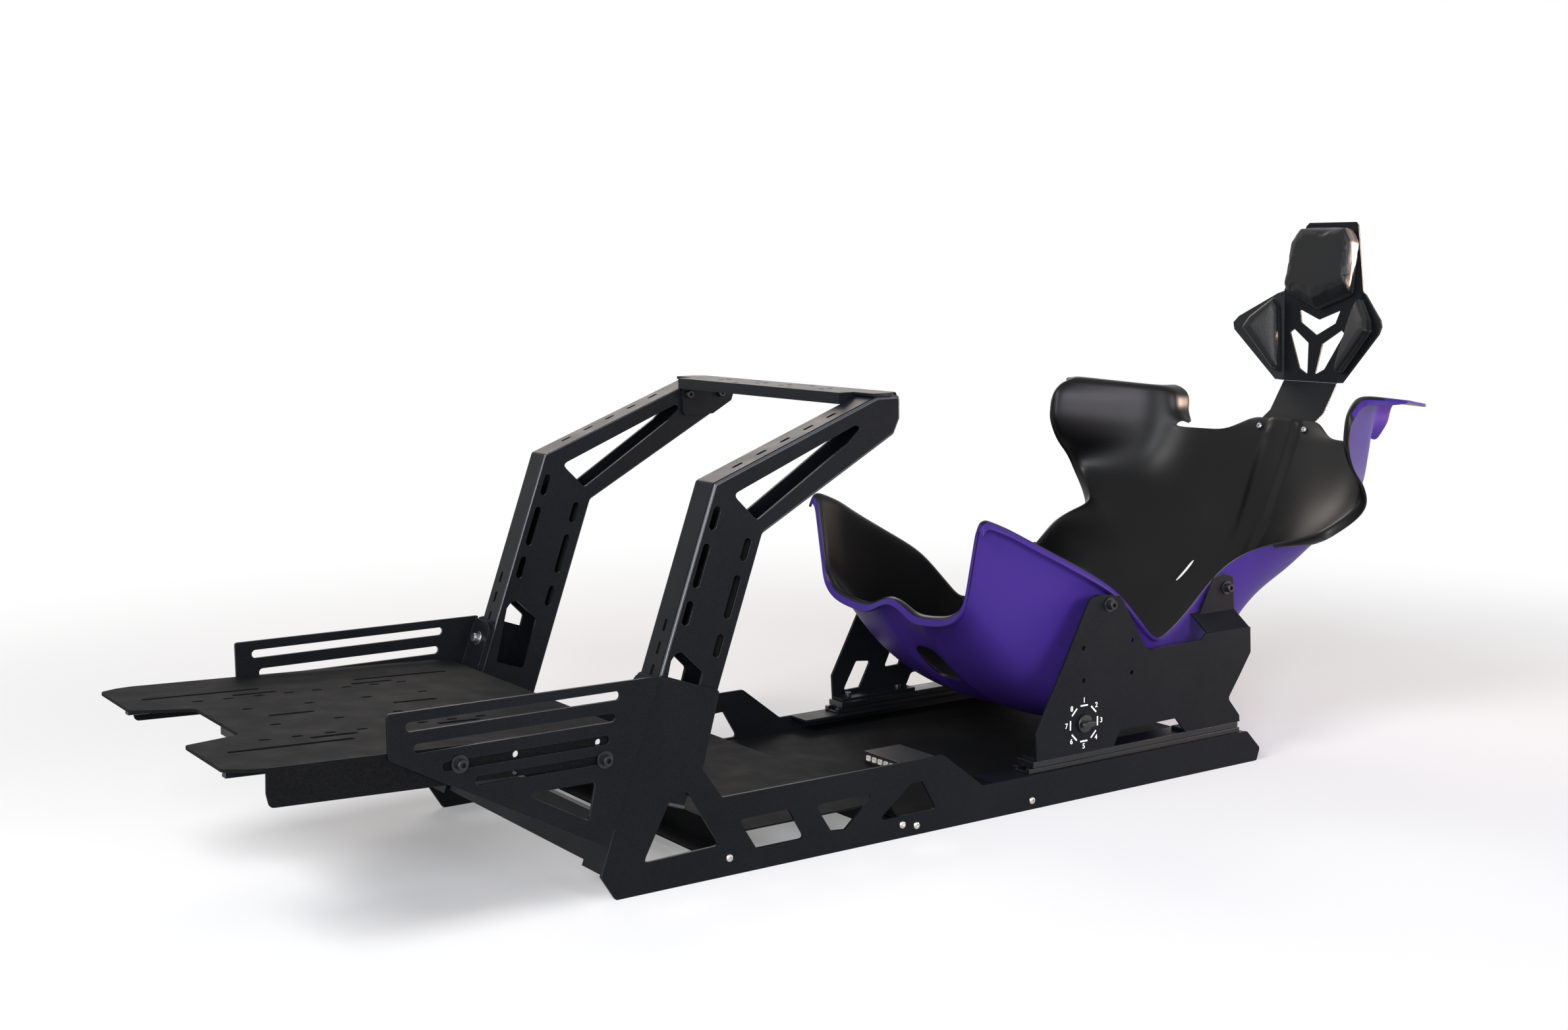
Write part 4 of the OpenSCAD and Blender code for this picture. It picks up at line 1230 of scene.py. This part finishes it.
        # Where the shoulder's flange meets the lip or the notch's flange, the corner is round
        over, out = max(0, a - self.rim) / 2, max(0, row - self.last) / 2
        p = p + self.roll(row, over * math.sqrt(1 - out * out / 2))
        p = p + out * math.sqrt(1 - max(over, in_notch) ** 2 / 2) * self.shoulder * np.array(self.shelf)
        curl = max(0, -row) / 2
        p = p + curl * self.lip * np.array([-0.5, 0, -0.9 * curl])
        reach = 26 + 12 * min(1.0, max(0, row - self.valley - 1) / 2)
        drop = 0.35 if row == self.valley + 1 else 0.04
        return p + in_notch * math.sqrt(1 - out * out / 2) * reach * np.array([1, 0.08, -drop])

    def has_cell(self, r: int, c: int) -> bool:
        """Says whether the sheet has a cell between rows r and r + 1 and columns c and c + 1."""
        low, high = min(abs(c), abs(c + 1)), max(abs(c), abs(c + 1))
        in_strap_hole = self.strap_rows[0] <= r < self.strap_rows[1] and high <= 1
        in_slit = self.slit_rows[0] <= r < self.slit_rows[1] and (low, high) == self.slit_cols
        if in_strap_hole or in_slit:
            return False
        if r < self.valley:
            return True
        if r == self.valley:
            return low >= self.notch_col or high <= self.tab_col
        return low >= self.notch_col - 2

    def sheet(self) -> bpy.types.Mesh:
        """Makes the coarse sheet, with the finish of each cell's inner face."""
        first, end, half = -2, self.last + 2, self.rim + 2
        points: list[Vector] = []
        faces: list[list[int]] = []
        on_lip: list[bool] = []
        for r in range(first, end):
            for c in range(-half, half):
                if self.has_cell(r, c):
                    corners = ((r, c), (r + 1, c), (r + 1, c + 1), (r, c + 1))
                    faces.append([self._number(row, col, points) for row, col in corners])
                    # The purple comes up to the crest of the lips; hips and shoulders are black to their edge
                    on_side = min(abs(c), abs(c + 1)) > self.rim and not self.hip_row <= r <= self.last - 3
                    on_lip.append(r < -1 or r > self.last or on_side)
        mesh = bpy.data.meshes.new("seat_bucket")
        mesh.from_pydata([tuple(p) for p in points], [], faces)
        smooth(mesh)
        mesh.polygons.foreach_set("material_index", [int(lip) for lip in on_lip])
        self._crease_slits(mesh)
        # The wall's edges come out in the last two slots and keep the colour of the face they end
        for finish in (GEL_BLACK, GEL_PURPLE, GEL_BLACK, GEL_PURPLE):
            mesh.materials.append(finish.build())
        return mesh

    def build(self) -> list[bpy.types.Object]:
        """Makes the shell as one closed skin, purple outside and black inside."""
        shell = new_object("seat_bucket", self.sheet())
        modify(shell, "Fine", "SUBSURF", levels=2, render_levels=2)
        settle(shell)
        self._press(shell.data)
        modify(
            shell, "Wall", "SOLIDIFY", thickness=self.wall * MM, offset=1.0, use_even_offset=True,
            material_offset=1, material_offset_rim=2,
        )
        settle(shell)
        modify(
            shell, "Edge", "BEVEL", limit_method="ANGLE", angle_limit=math.radians(55), width=self.edge,
            segments=2,
        )
        settle(shell)
        for polygon in shell.data.polygons:
            polygon.material_index %= 2
        for _ in range(2):
            shell.data.materials.pop()
        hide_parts("seat_shell")
        return [hand_over(shell, "seat")]

    def _crease_slits(self, mesh: bpy.types.Mesh) -> None:
        """Keeps the ends of the two slits square when the mesh is made fine."""
        rows = range(self.slit_rows[0], self.slit_rows[1] + 1)
        numbers = [[self.grid[(r, side * c)] for r in rows for c in self.slit_cols] for side in (-1, 1)]
        crease = mesh.attributes.new("crease_edge", "FLOAT", "EDGE")
        for edge in mesh.edges:
            if any(set(edge.vertices) <= set(group) for group in numbers):
                crease.data[edge.index].value = 1.0

    def _number(self, row: int, col: int, points: list[Vector]) -> int:
        """Gives the number of a grid point, and adds it when it is new."""
        key = (row, col)
        if key not in self.grid:
            self.grid[key] = len(points)
            points.append(place(*self.point(row, col)))
        return self.grid[key]

    def _press(self, mesh: bpy.types.Mesh) -> None:
        """Presses the raised spine and the folds beside the strap hole into the sheet."""
        co = vectors(mesh)
        x, y, z = (co[:, 0] / MM + MID_X), np.abs(co[:, 1]) / MM, co[:, 2] / MM
        on_back = np.clip((x - 700) / 60, 0, 1) * np.clip((z - 230) / 110, 0, 1)
        ramp = np.clip((30 - y) / 4, 0, 1)
        spine = 6.0 * ramp * ramp * (3 - 2 * ramp) * on_back
        in_front = np.clip((330 - x) / 60, 0, 1) * np.clip((x - 130) / 40, 0, 1)
        folds = 2.0 * np.exp(-(((y - 46) / 8) ** 2)) * in_front
        # The sheet's normals point at the driver, so a raised form follows them
        move_points(mesh, co + vectors(mesh, "normal") * ((spine - folds) * MM)[:, None])


@dataclass
class Cushion:
    """One headrest pad: foam under leatherette, swelled by a cloth simulation and then seamed."""

    name: str
    node: str
    outline: tuple[tuple[float, float], ...]
    face: tuple[tuple[float, float], ...]
    depth: float
    shoulder: float
    lift: Callable[[float, float, float], Vector]
    voxel: float = 0.004
    swell: float = 0.005
    inset: float = 1.2
    low_wall: float = 0.0
    swell_frames: int = 20
    # Points lower than this above the plate, in metres, stay while the pad swells
    held_height: float = 0.003
    # The seam's groove, in metres
    seam_depth: float = 0.0013
    seam_width: float = 0.0035
    # Stitches: their pitch and the thread's radius, in metres
    pitch: float = 0.0048
    thread: float = 0.00042

    def rough(self) -> bpy.types.Object:
        """Makes the pad's plain form as a slightly shrunk closed mesh."""
        # The walls stay upright nearly to the face, except the low one, which slopes all the way
        lowest = min(p[1] for p in self.outline)
        shares = [0.75 if p[1] < lowest + self.low_wall else 0.3 for p in self.outline]
        near_face = [
            tuple(np.array(p) + (np.array(q) - np.array(p)) * share)
            for p, q, share in zip(self.outline, self.face, shares)
        ]
        levels = [
            (0.6, self.outline), (self.depth * self.shoulder, self.outline),
            (self.depth * 0.84, near_face), (self.depth - self.inset, self.face),
        ]
        points: list[Vector] = []
        for depth, loop in levels:
            middle = np.mean(loop, axis=0)
            for p in loop:
                away = np.array(p) - middle
                near = middle + away * (1 - self.inset / np.linalg.norm(away))
                points.append(self.lift(-depth, near[0], near[1]))
        n = len(self.outline)
        faces = bands(len(levels), n) + [list(range(n))[::-1], list(range(len(points) - n, len(points)))]
        return make_piece(self.name, points, faces, [PAD_SKIN], 180.0)

    def build(self) -> list[bpy.types.Object]:
        """Makes the pad with its seam and stitches."""
        pad = self.rough()
        modify(pad, "Voxels", "REMESH", mode="VOXEL", voxel_size=self.voxel, use_smooth_shade=True)
        settle(pad)
        self._inflate(pad)
        modify(pad, "Fine", "SUBSURF", levels=1, render_levels=1)
        settle(pad)
        stitches = self._sew(pad)
        smooth(pad.data)
        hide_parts(self.node)
        hand_over(pad, "seat")
        return [pad, stitches]

    def _inflate(self, pad: bpy.types.Object) -> None:
        """Swells the pad with cloth under pressure, its back held to the plate, each point's step capped."""
        rest = vectors(pad.data)
        back = self.lift(0, 0, 0)
        out = (self.lift(-10, 0, 0) - back).normalized()
        held = [k for k, p in enumerate(rest) if (Vector(p) - back).dot(out) < self.held_height]
        group = pad.vertex_groups.new(name="held")
        group.add(held, 1.0, "REPLACE")
        cloth = modify(pad, "Cloth", "CLOTH")
        wanted = {
            "quality": 6, "mass": 0.25, "tension_stiffness": 40, "compression_stiffness": 40,
            "bending_stiffness": 4, "use_pressure": True, "uniform_pressure_force": 4.0,
            "vertex_group_mass": "held",
        }
        for key, value in wanted.items():
            setattr(cloth.settings, key, value)
        cloth.settings.effector_weights.gravity = 0.0
        cloth.collision_settings.use_collision = False
        scene = bpy.context.scene
        for frame_number in range(1, self.swell_frames + 1):
            scene.frame_set(frame_number)
        puffed = pad.evaluated_get(bpy.context.evaluated_depsgraph_get())
        swollen = vectors(puffed.to_mesh())
        puffed.to_mesh_clear()
        pad.modifiers.clear()
        scene.frame_set(1)
        step = swollen - rest
        length = np.linalg.norm(step, axis=1, keepdims=True)
        step *= np.minimum(1.0, self.swell / np.maximum(length, 1e-9))
        move_points(pad.data, rest + step)

    def _sew(self, pad: bpy.types.Object) -> bpy.types.Object:
        """Pulls the cover's seam into the side walls, lays its stitches behind it and gives them."""
        loop = self._even_loop(self.outline, 3.0)
        seam = np.array([self.lift(-self.depth * 0.36, a, b) for a, b in loop])
        co = vectors(pad.data)
        middle = np.mean(self.outline, axis=0)
        # The walls swell, so the seam is found by its depth and by how near the outline it runs
        gap = np.sqrt(((co[:, None, :] - seam[None, :, :]) ** 2).sum(2)).min(1)
        pull = self.seam_depth * np.exp(-((gap / self.seam_width) ** 2))
        move_points(pad.data, co - vectors(pad.data, "normal") * pull[:, None])
        line = []
        for p in loop:
            far = middle + (np.array(p) - middle) * 1.6
            start, end = self.lift(-self.depth * 0.2, *far), self.lift(-self.depth * 0.2, *middle)
            hit, where, normal, _ = pad.ray_cast(start, (end - start).normalized())
            if hit:
                line.append(where + normal * 0.0001)
        stitches = StitchTree().lay(f"{self.name}_stitches", line, self.pitch, self.thread, PAD_THREAD)
        return hand_over(stitches, "seat")

    @staticmethod
    def _even_loop(loop: Sequence[tuple[float, float]], step: float) -> list[tuple[float, float]]:
        """Gives points at an even step along a closed outline."""
        made: list[tuple[float, float]] = []
        for a, b in zip(loop, (*loop[1:], loop[0])):
            n = max(1, round(math.dist(a, b) / step))
            made += [(a[0] + (b[0] - a[0]) * i / n, a[1] + (b[1] - a[1]) * i / n) for i in range(n)]
        return made


def on_wing(side: int) -> Callable[[float, float, float], Vector]:
    """Gives the placing of a point on a folded wing of the headrest plate.

    Args:
        side: -1 for the driver's left wing, 1 for the right one.

    Returns:
        A function of depth, distance across and distance up, in millimetres.
    """
    low, high, sheet = (58.0, 0.0), (85.0, 157.0), 2.7
    fold = math.atan2(high[0] - low[0], high[1] - low[1])
    wing = math.radians(22)
    turn = Matrix.Rotation(-fold, 4, "X") @ Matrix.Rotation(wing, 4, "Z") @ Matrix.Rotation(fold, 4, "X")
    pivot = Vector((sheet, low[0], 0))

    def lift(depth: float, across: float, up: float) -> Vector:
        """Places one point of the wing."""
        p = turn @ (Vector((depth, across, up)) - pivot) + pivot
        return on_rest(p.x, side * p.y, p.z)

    return lift


@dataclass
class Headrest:
    """The three pads of the headrest and the screws of its strap."""

    tree: FastenerTree

    def build(self) -> list[bpy.types.Object]:
        """Makes the pads and sets the screws."""
        top = 262.0
        main = Cushion(
            "headrest_cushion", "headrest_pad",
            ((0, 122), (70, 150), (66, top - 24), (50, top), (-50, top), (-66, top - 24), (-70, 150)),
            ((0, 140), (67, 166), (63, top - 25), (47, top - 3), (-47, top - 3), (-63, top - 25), (-67, 166)),
            28.0, 0.45, on_rest, voxel=0.003, swell=0.0018, low_wall=30.0,
        )
        pieces = main.build()
        for side, word in ((-1, "left"), (1, "right")):
            wing = Cushion(
                f"headrest_wing_cushion_{word}", f"headrest_side_pad_{word}",
                ((66, 14), (80, 16), (148, 84), (138, 104), (98, 142), (88, 130)),
                ((74, 28), (82, 30), (130, 86), (124, 98), (100, 126), (92, 114)),
                20.0, 0.6, on_wing(side), voxel=0.0025, swell=0.0012, inset=0.8,
            )
            pieces += wing.build()
        places, facings = [place(946.5, side * 49, 477) for side in (-1, 1)], [Vector((-1, 0, 0.35))] * 2
        screws = self.tree.set_on("headrest_strap_screws", Head.BUTTON, 0.0115, places, facings, ZINC)
        return pieces + [hand_over(screws, "seat")]


@dataclass
class Dial:
    """The knob on the left seat bracket, with its ring of marks and numbers. Lengths are in millimetres."""

    centre: tuple[float, float] = (268.0, 109.0)
    face_y: float = -247.0
    radius: float = 13.0
    dash_ring: float = 26.0
    dash: tuple[float, float, float] = (6.8, 1.1, 0.25)
    number_ring: float = 33.5
    numbers: int = 8
    # Half of the grip bar's outline, turned over for the other half, and its heights with their scales
    grip: tuple[Point, ...] = ((-12.4, -2.2), (-11.4, -3.6), (0, -4.6), (11.4, -3.6), (12.4, -2.2))
    grip_levels: tuple[Point, ...] = ((4.4, 1.0), (11.6, 0.97), (12.9, 0.86))

    @property
    def middle(self) -> Vector:
        """The dial's middle on the bracket's face, in the row frame."""
        return place(self.centre[0], self.face_y, self.centre[1])

    def knob(self) -> list[bpy.types.Object]:
        """Makes the knob's skirt and its grip bar."""
        big = self.radius
        rings = [(11.6, 0.5), (big, 1.0), (big, 3.6), (big - 0.9, 4.6), (7.5, 5.0), (0.01, 5.1)]
        turned, sides = turned_rings([(r * MM, h * MM) for r, h in rings], 56)
        skirt = make_piece(
            "dial_skirt", [self.middle + Vector((p.x, -p.z, p.y)) for p in turned], sides, [KNOB], 40.0
        )
        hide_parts("dial_knob")

        loop = self.grip + tuple((a, -b) for a, b in self.grip[::-1])
        n = len(loop)
        points = [
            self.middle + Vector((a * scale * MM, -h * MM, b * scale * MM))
            for h, scale in self.grip_levels
            for a, b in loop
        ]
        faces = bands(len(self.grip_levels), n) + [list(range(n)), list(range(len(points) - n, len(points)))]
        bar = make_piece("dial_grip_bar", points, faces, [KNOB], 30.0)
        modify(bar, "Soft", "BEVEL", width=0.0006, segments=3, limit_method="ANGLE")
        settle(bar)
        return [hand_over(piece, "dial") for piece in (skirt, bar)]

    def marks(self) -> list[bpy.types.Object]:
        """Prints the ring of dashes and numbers on the bracket."""
        points: list[Vector] = []
        faces: list[list[int]] = []
        spots: list[Vector] = []
        half, thick, ink = (value * MM for value in self.dash)
        for k in range(self.numbers):
            angle = math.radians(90 - 360 / self.numbers * k)
            radial = Vector((math.cos(angle), 0, math.sin(angle)))
            along = Vector((-radial.z, 0, radial.x))
            spot = self.middle + radial * self.dash_ring * MM
            first = len(points)
            for depth in (0.0, ink):
                for a, b in ((-1, -1), (1, -1), (1, 1), (-1, 1)):
                    points.append(spot + along * a * half + radial * b * thick + Vector((0, -depth, 0)))
            faces += bands(2, 4, first) + [[first + i for i in range(4)], [first + i for i in (7, 6, 5, 4)]]
            spots.append(self.middle + radial * self.number_ring * MM)
        pieces = [make_piece("dial_dashes", points, faces, [INK], 30.0)]
        pieces += [self._number(str(number), spot) for number, spot in enumerate(spots, 1)]
        return [hand_over(piece, "seat") for piece in pieces]

    def _number(self, text: str, spot: Vector) -> bpy.types.Object:
        """Prints one number as thin ink at a spot on the bracket."""
        curve = bpy.data.curves.new(f"dial_number_{text}", "FONT")
        curve.body = text
        curve.size = 0.0105
        curve.extrude = 0.0002
        curve.align_x = curve.align_y = "CENTER"
        curve.offset = 0.0001
        shape = new_object(f"dial_number_{text}_shape", curve)
        graph = bpy.context.evaluated_depsgraph_get()
        mesh = bpy.data.meshes.new_from_object(shape.evaluated_get(graph))
        bpy.data.objects.remove(shape)
        mesh.transform(Matrix.Translation(spot) @ Matrix.Rotation(math.radians(90), 4, "X"))
        mesh.materials.clear()
        mesh.materials.append(INK.build())
        return new_object(f"dial_number_{text}", mesh)

    def build(self) -> list[bpy.types.Object]:
        """Makes the knob and the marks."""
        return self.knob() + self.marks()


@dataclass
class ControlBox:
    """The small box on the rear pan: its case and its row of connectors. Lengths are in millimetres."""

    nodes: dict[str, bpy.types.Object]
    corner: tuple[float, float, float] = (70.0, -84.0, 27.0)
    sockets: int = 6
    pitch: float = 14.0
    shroud: tuple[float, float, float] = (8.5, 7.8, 7.0)
    shroud_wall: float = 1.1
    # Width of the bevel on the case's edges, in metres
    edge: float = 0.0007

    def build(self) -> list[bpy.types.Object]:
        """Dresses the case and fills its pockets with connectors."""
        case = self.nodes["control_box"]
        case.material_slots[0].material = BOX.build()
        modify(case, "Weld", "WELD", merge_threshold=WELD)
        modify(
            case, "Edges", "BEVEL", limit_method="ANGLE", angle_limit=math.radians(50), width=self.edge,
            segments=2,
        )
        points: list[Vector] = []
        faces: list[list[int]] = []
        x0, y0, z0 = self.corner
        for k in range(self.sockets):
            self._shroud(points, faces, (x0 - 2.0, y0 + 10.6 + self.pitch * k, z0 + 5.5))
        plugs = make_piece("control_box_sockets", points, faces, [NYLON], 30.0)
        return [case, hand_over(plugs, "chassis")]

    def _shroud(self, points: list[Vector], faces: list[list[int]], low: Point) -> None:
        """Adds a connector's shroud, open at the front."""
        x, y, z = low
        dx, dy, dz = self.shroud
        outer, inner = (
            [(y + t, z + t), (y + dy - t, z + t), (y + dy - t, z + dz - t), (y + t, z + dz - t)]
            for t in (0.0, self.shroud_wall)
        )
        first = len(points)
        for depth, loop in ((dx, outer), (0, outer), (0, inner), (dx * 0.7, inner)):
            points += [place(x + depth, a, b) for a, b in loop]
        faces += bands(4, 4, first) + [[first + k for k in (3, 2, 1, 0)], [first + 12 + k for k in range(4)]]


@dataclass(frozen=True)
class Lamp:
    """One soft rectangular lamp: where it is, the point it faces, its size in metres and its power in watts.

    Its light keeps to the angle of spread, in degrees.
    """

    name: str
    eye: Point
    target: Point
    size: tuple[float, float]
    power: float
    colour: str
    spread: float = 180.0

    def build(self) -> None:
        """Adds the lamp to the scene."""
        data = bpy.data.lights.new(self.name, "AREA")
        data.spread = math.radians(self.spread)
        data.shape = "RECTANGLE"
        data.size, data.size_y = self.size
        data.energy = self.power
        data.color = linear(self.colour)[:3]
        aim = (Vector(self.target) - Vector(self.eye)).to_track_quat("-Z", "Y")
        new_object(self.name, data).matrix_world = Matrix.Translation(self.eye) @ aim.to_matrix().to_4x4()


@dataclass
class Studio:
    """The camera at the photograph's angle, the pale floor and the soft lamps."""

    lens: float = 44.88
    eye: tuple[float, float, float] = (-1.66799, -2.2587, 0.7755)
    yaw: float = 34.317
    pitch: float = 7.585
    roll: float = -0.4618
    # The floor turns from matt to plain white between these distances from the middle, in metres
    fade: tuple[float, float] = (0.9, 2.6)
    floor_reach: float = 30.0
    lamps: tuple[Lamp, ...] = (
        Lamp("key_lamp", (-2.8, -0.8, 2.6), (0.1, 0.0, 0.3), (1.4, 1.4), 110, "#ffffff"),
        Lamp("fold_lamp", (-2.8, -3.0, 1.3), (0.0, 0.0, 0.45), (0.8, 2.3), 130, "#f4f7ff"),
        Lamp("side_lamp", (0.35, -3.1, 1.05), (0.7, 0.2, 0.55), (1.2, 1.0), 12, "#f4f4ff", 70),
        Lamp("warm_lamp", (2.5, -1.6, 0.7), (0.8, 0.1, 0.5), (0.6, 0.8), 7, "#ffe2d2", 60),
        Lamp("head_lamp", (2.15, -1.1, 0.9), (0.93, -0.07, 0.79), (0.28, 0.5), 9, "#ffdcc6", 10),
        Lamp("back_lamp", (1.2, 3.0, 2.4), (0.2, 0.0, 0.4), (2.4, 1.2), 45, "#fff3ea"),
    )

    def camera(self) -> None:
        """Sets the camera."""
        yaw, pitch, roll = (math.radians(a) for a in (self.yaw, self.pitch, self.roll))
        ahead = Vector((math.sin(yaw) * math.cos(pitch), math.cos(yaw) * math.cos(pitch), -math.sin(pitch)))
        right = Vector((math.cos(yaw), -math.sin(yaw), 0))
        up = right.cross(ahead)
        across = right * math.cos(roll) + up * math.sin(roll)
        above = up * math.cos(roll) - right * math.sin(roll)
        data = bpy.data.cameras.new("camera")
        data.lens, data.sensor_width = self.lens, 36.0
        camera = new_object("camera", data)
        turn = Matrix((across, above, -ahead)).transposed().to_4x4()
        camera.matrix_world = Matrix.Translation(self.eye) @ turn
        bpy.context.scene.camera = camera

    def seen(self, tree: bpy.types.NodeTree) -> bpy.types.NodeSocket:
        """Adds the nodes that tell what is seen from what gives light.

        Args:
            tree: The tree that gets them.

        Returns:
            A socket that is 1 for a ray from the camera, a mirror or glass, and 0 for any other.
        """
        ray = add_node(tree, "ShaderNodeLightPath").outputs
        clamped = {"operation": "ADD", "use_clamp": True}
        plain = add_node(tree, MATH, clamped, {0: ray["Is Camera Ray"], 1: ray["Is Transmission Ray"]})
        return add_node(tree, MATH, clamped, {0: ray["Is Glossy Ray"], 1: plain.outputs[0]}).outputs[0]

    def floor(self) -> None:
        """Lays the pale floor, which keeps the shadow near the cockpit and turns plain white further off."""
        reach = self.floor_reach
        mesh = bpy.data.meshes.new("studio_floor")
        corners = [(-reach, -reach, 0), (reach, -reach, 0), (reach, reach, 0), (-reach, reach, 0)]
        mesh.from_pydata(corners, [], [(0, 1, 2, 3)])
        floor = new_object("studio_floor", mesh)
        material = bpy.data.materials.new("studio_floor")
        tree = empty_tree(material)
        where = add_node(tree, "ShaderNodeTexCoord").outputs["Object"]
        far = add_node(tree, "ShaderNodeVectorMath", {"operation": "LENGTH"}, {0: where})
        near, off = self.fade
        faded = add_node(
            tree, RANGE, {"interpolation_type": "SMOOTHSTEP"},
            {"Value": far.outputs["Value"], "From Min": near, "From Max": off, "To Min": 0.25, "To Max": 1.0},
        )
        share = add_node(
            tree, MATH, {"operation": "MULTIPLY"}, {0: faded.outputs["Result"], 1: self.seen(tree)}
        )
        matt = add_node(tree, "ShaderNodeBsdfDiffuse", None, {"Color": linear("#e9e9ea")})
        white = add_node(tree, "ShaderNodeEmission", None, {"Color": (1, 1, 1, 1), "Strength": 1.0})
        both = add_node(
            tree, "ShaderNodeMixShader", None,
            {0: share.outputs[0], 1: matt.outputs["BSDF"], 2: white.outputs["Emission"]},
        )
        add_node(tree, "ShaderNodeOutputMaterial", None, {"Surface": both.outputs["Shader"]})
        mesh.materials.append(material)

    def world(self) -> None:
        """Sets an even soft sky that shows as white behind the cockpit."""
        world = bpy.data.worlds.new("studio_sky")
        bpy.context.scene.world = world
        tree = empty_tree(world)
        dim = add_node(tree, "ShaderNodeBackground", None, {"Color": (1, 1, 1, 1), "Strength": 0.2})
        white = add_node(tree, "ShaderNodeBackground", None, {"Color": (1, 1, 1, 1), "Strength": 1.0})
        both = add_node(
            tree, "ShaderNodeMixShader", None,
            {0: self.seen(tree), 1: dim.outputs["Background"], 2: white.outputs["Background"]},
        )
        add_node(tree, "ShaderNodeOutputWorld", None, {"Surface": both.outputs["Shader"]})

    def build(self) -> None:
        """Sets up the camera, floor, sky and lamps."""
        self.camera()
        self.floor()
        self.world()
        for lamp in self.lamps:
            lamp.build()
        bpy.context.scene.view_settings.view_transform = "Standard"


def main() -> None:
    """Builds the studio and the cockpit's pieces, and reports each."""
    logging.basicConfig(level=logging.INFO, format="%(message)s")
    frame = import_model()
    nodes = frame["nodes"]
    tree = FastenerTree()
    Studio().build()
    for part in (SheetMetal(nodes), Fasteners(tree), SeatShell(), Headrest(tree), Dial(), ControlBox(nodes)):
        for piece in part.build():
            LOG.info("%s: %d faces", piece.name, len(piece.data.polygons))
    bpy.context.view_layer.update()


if __name__ == "__main__":
    main()
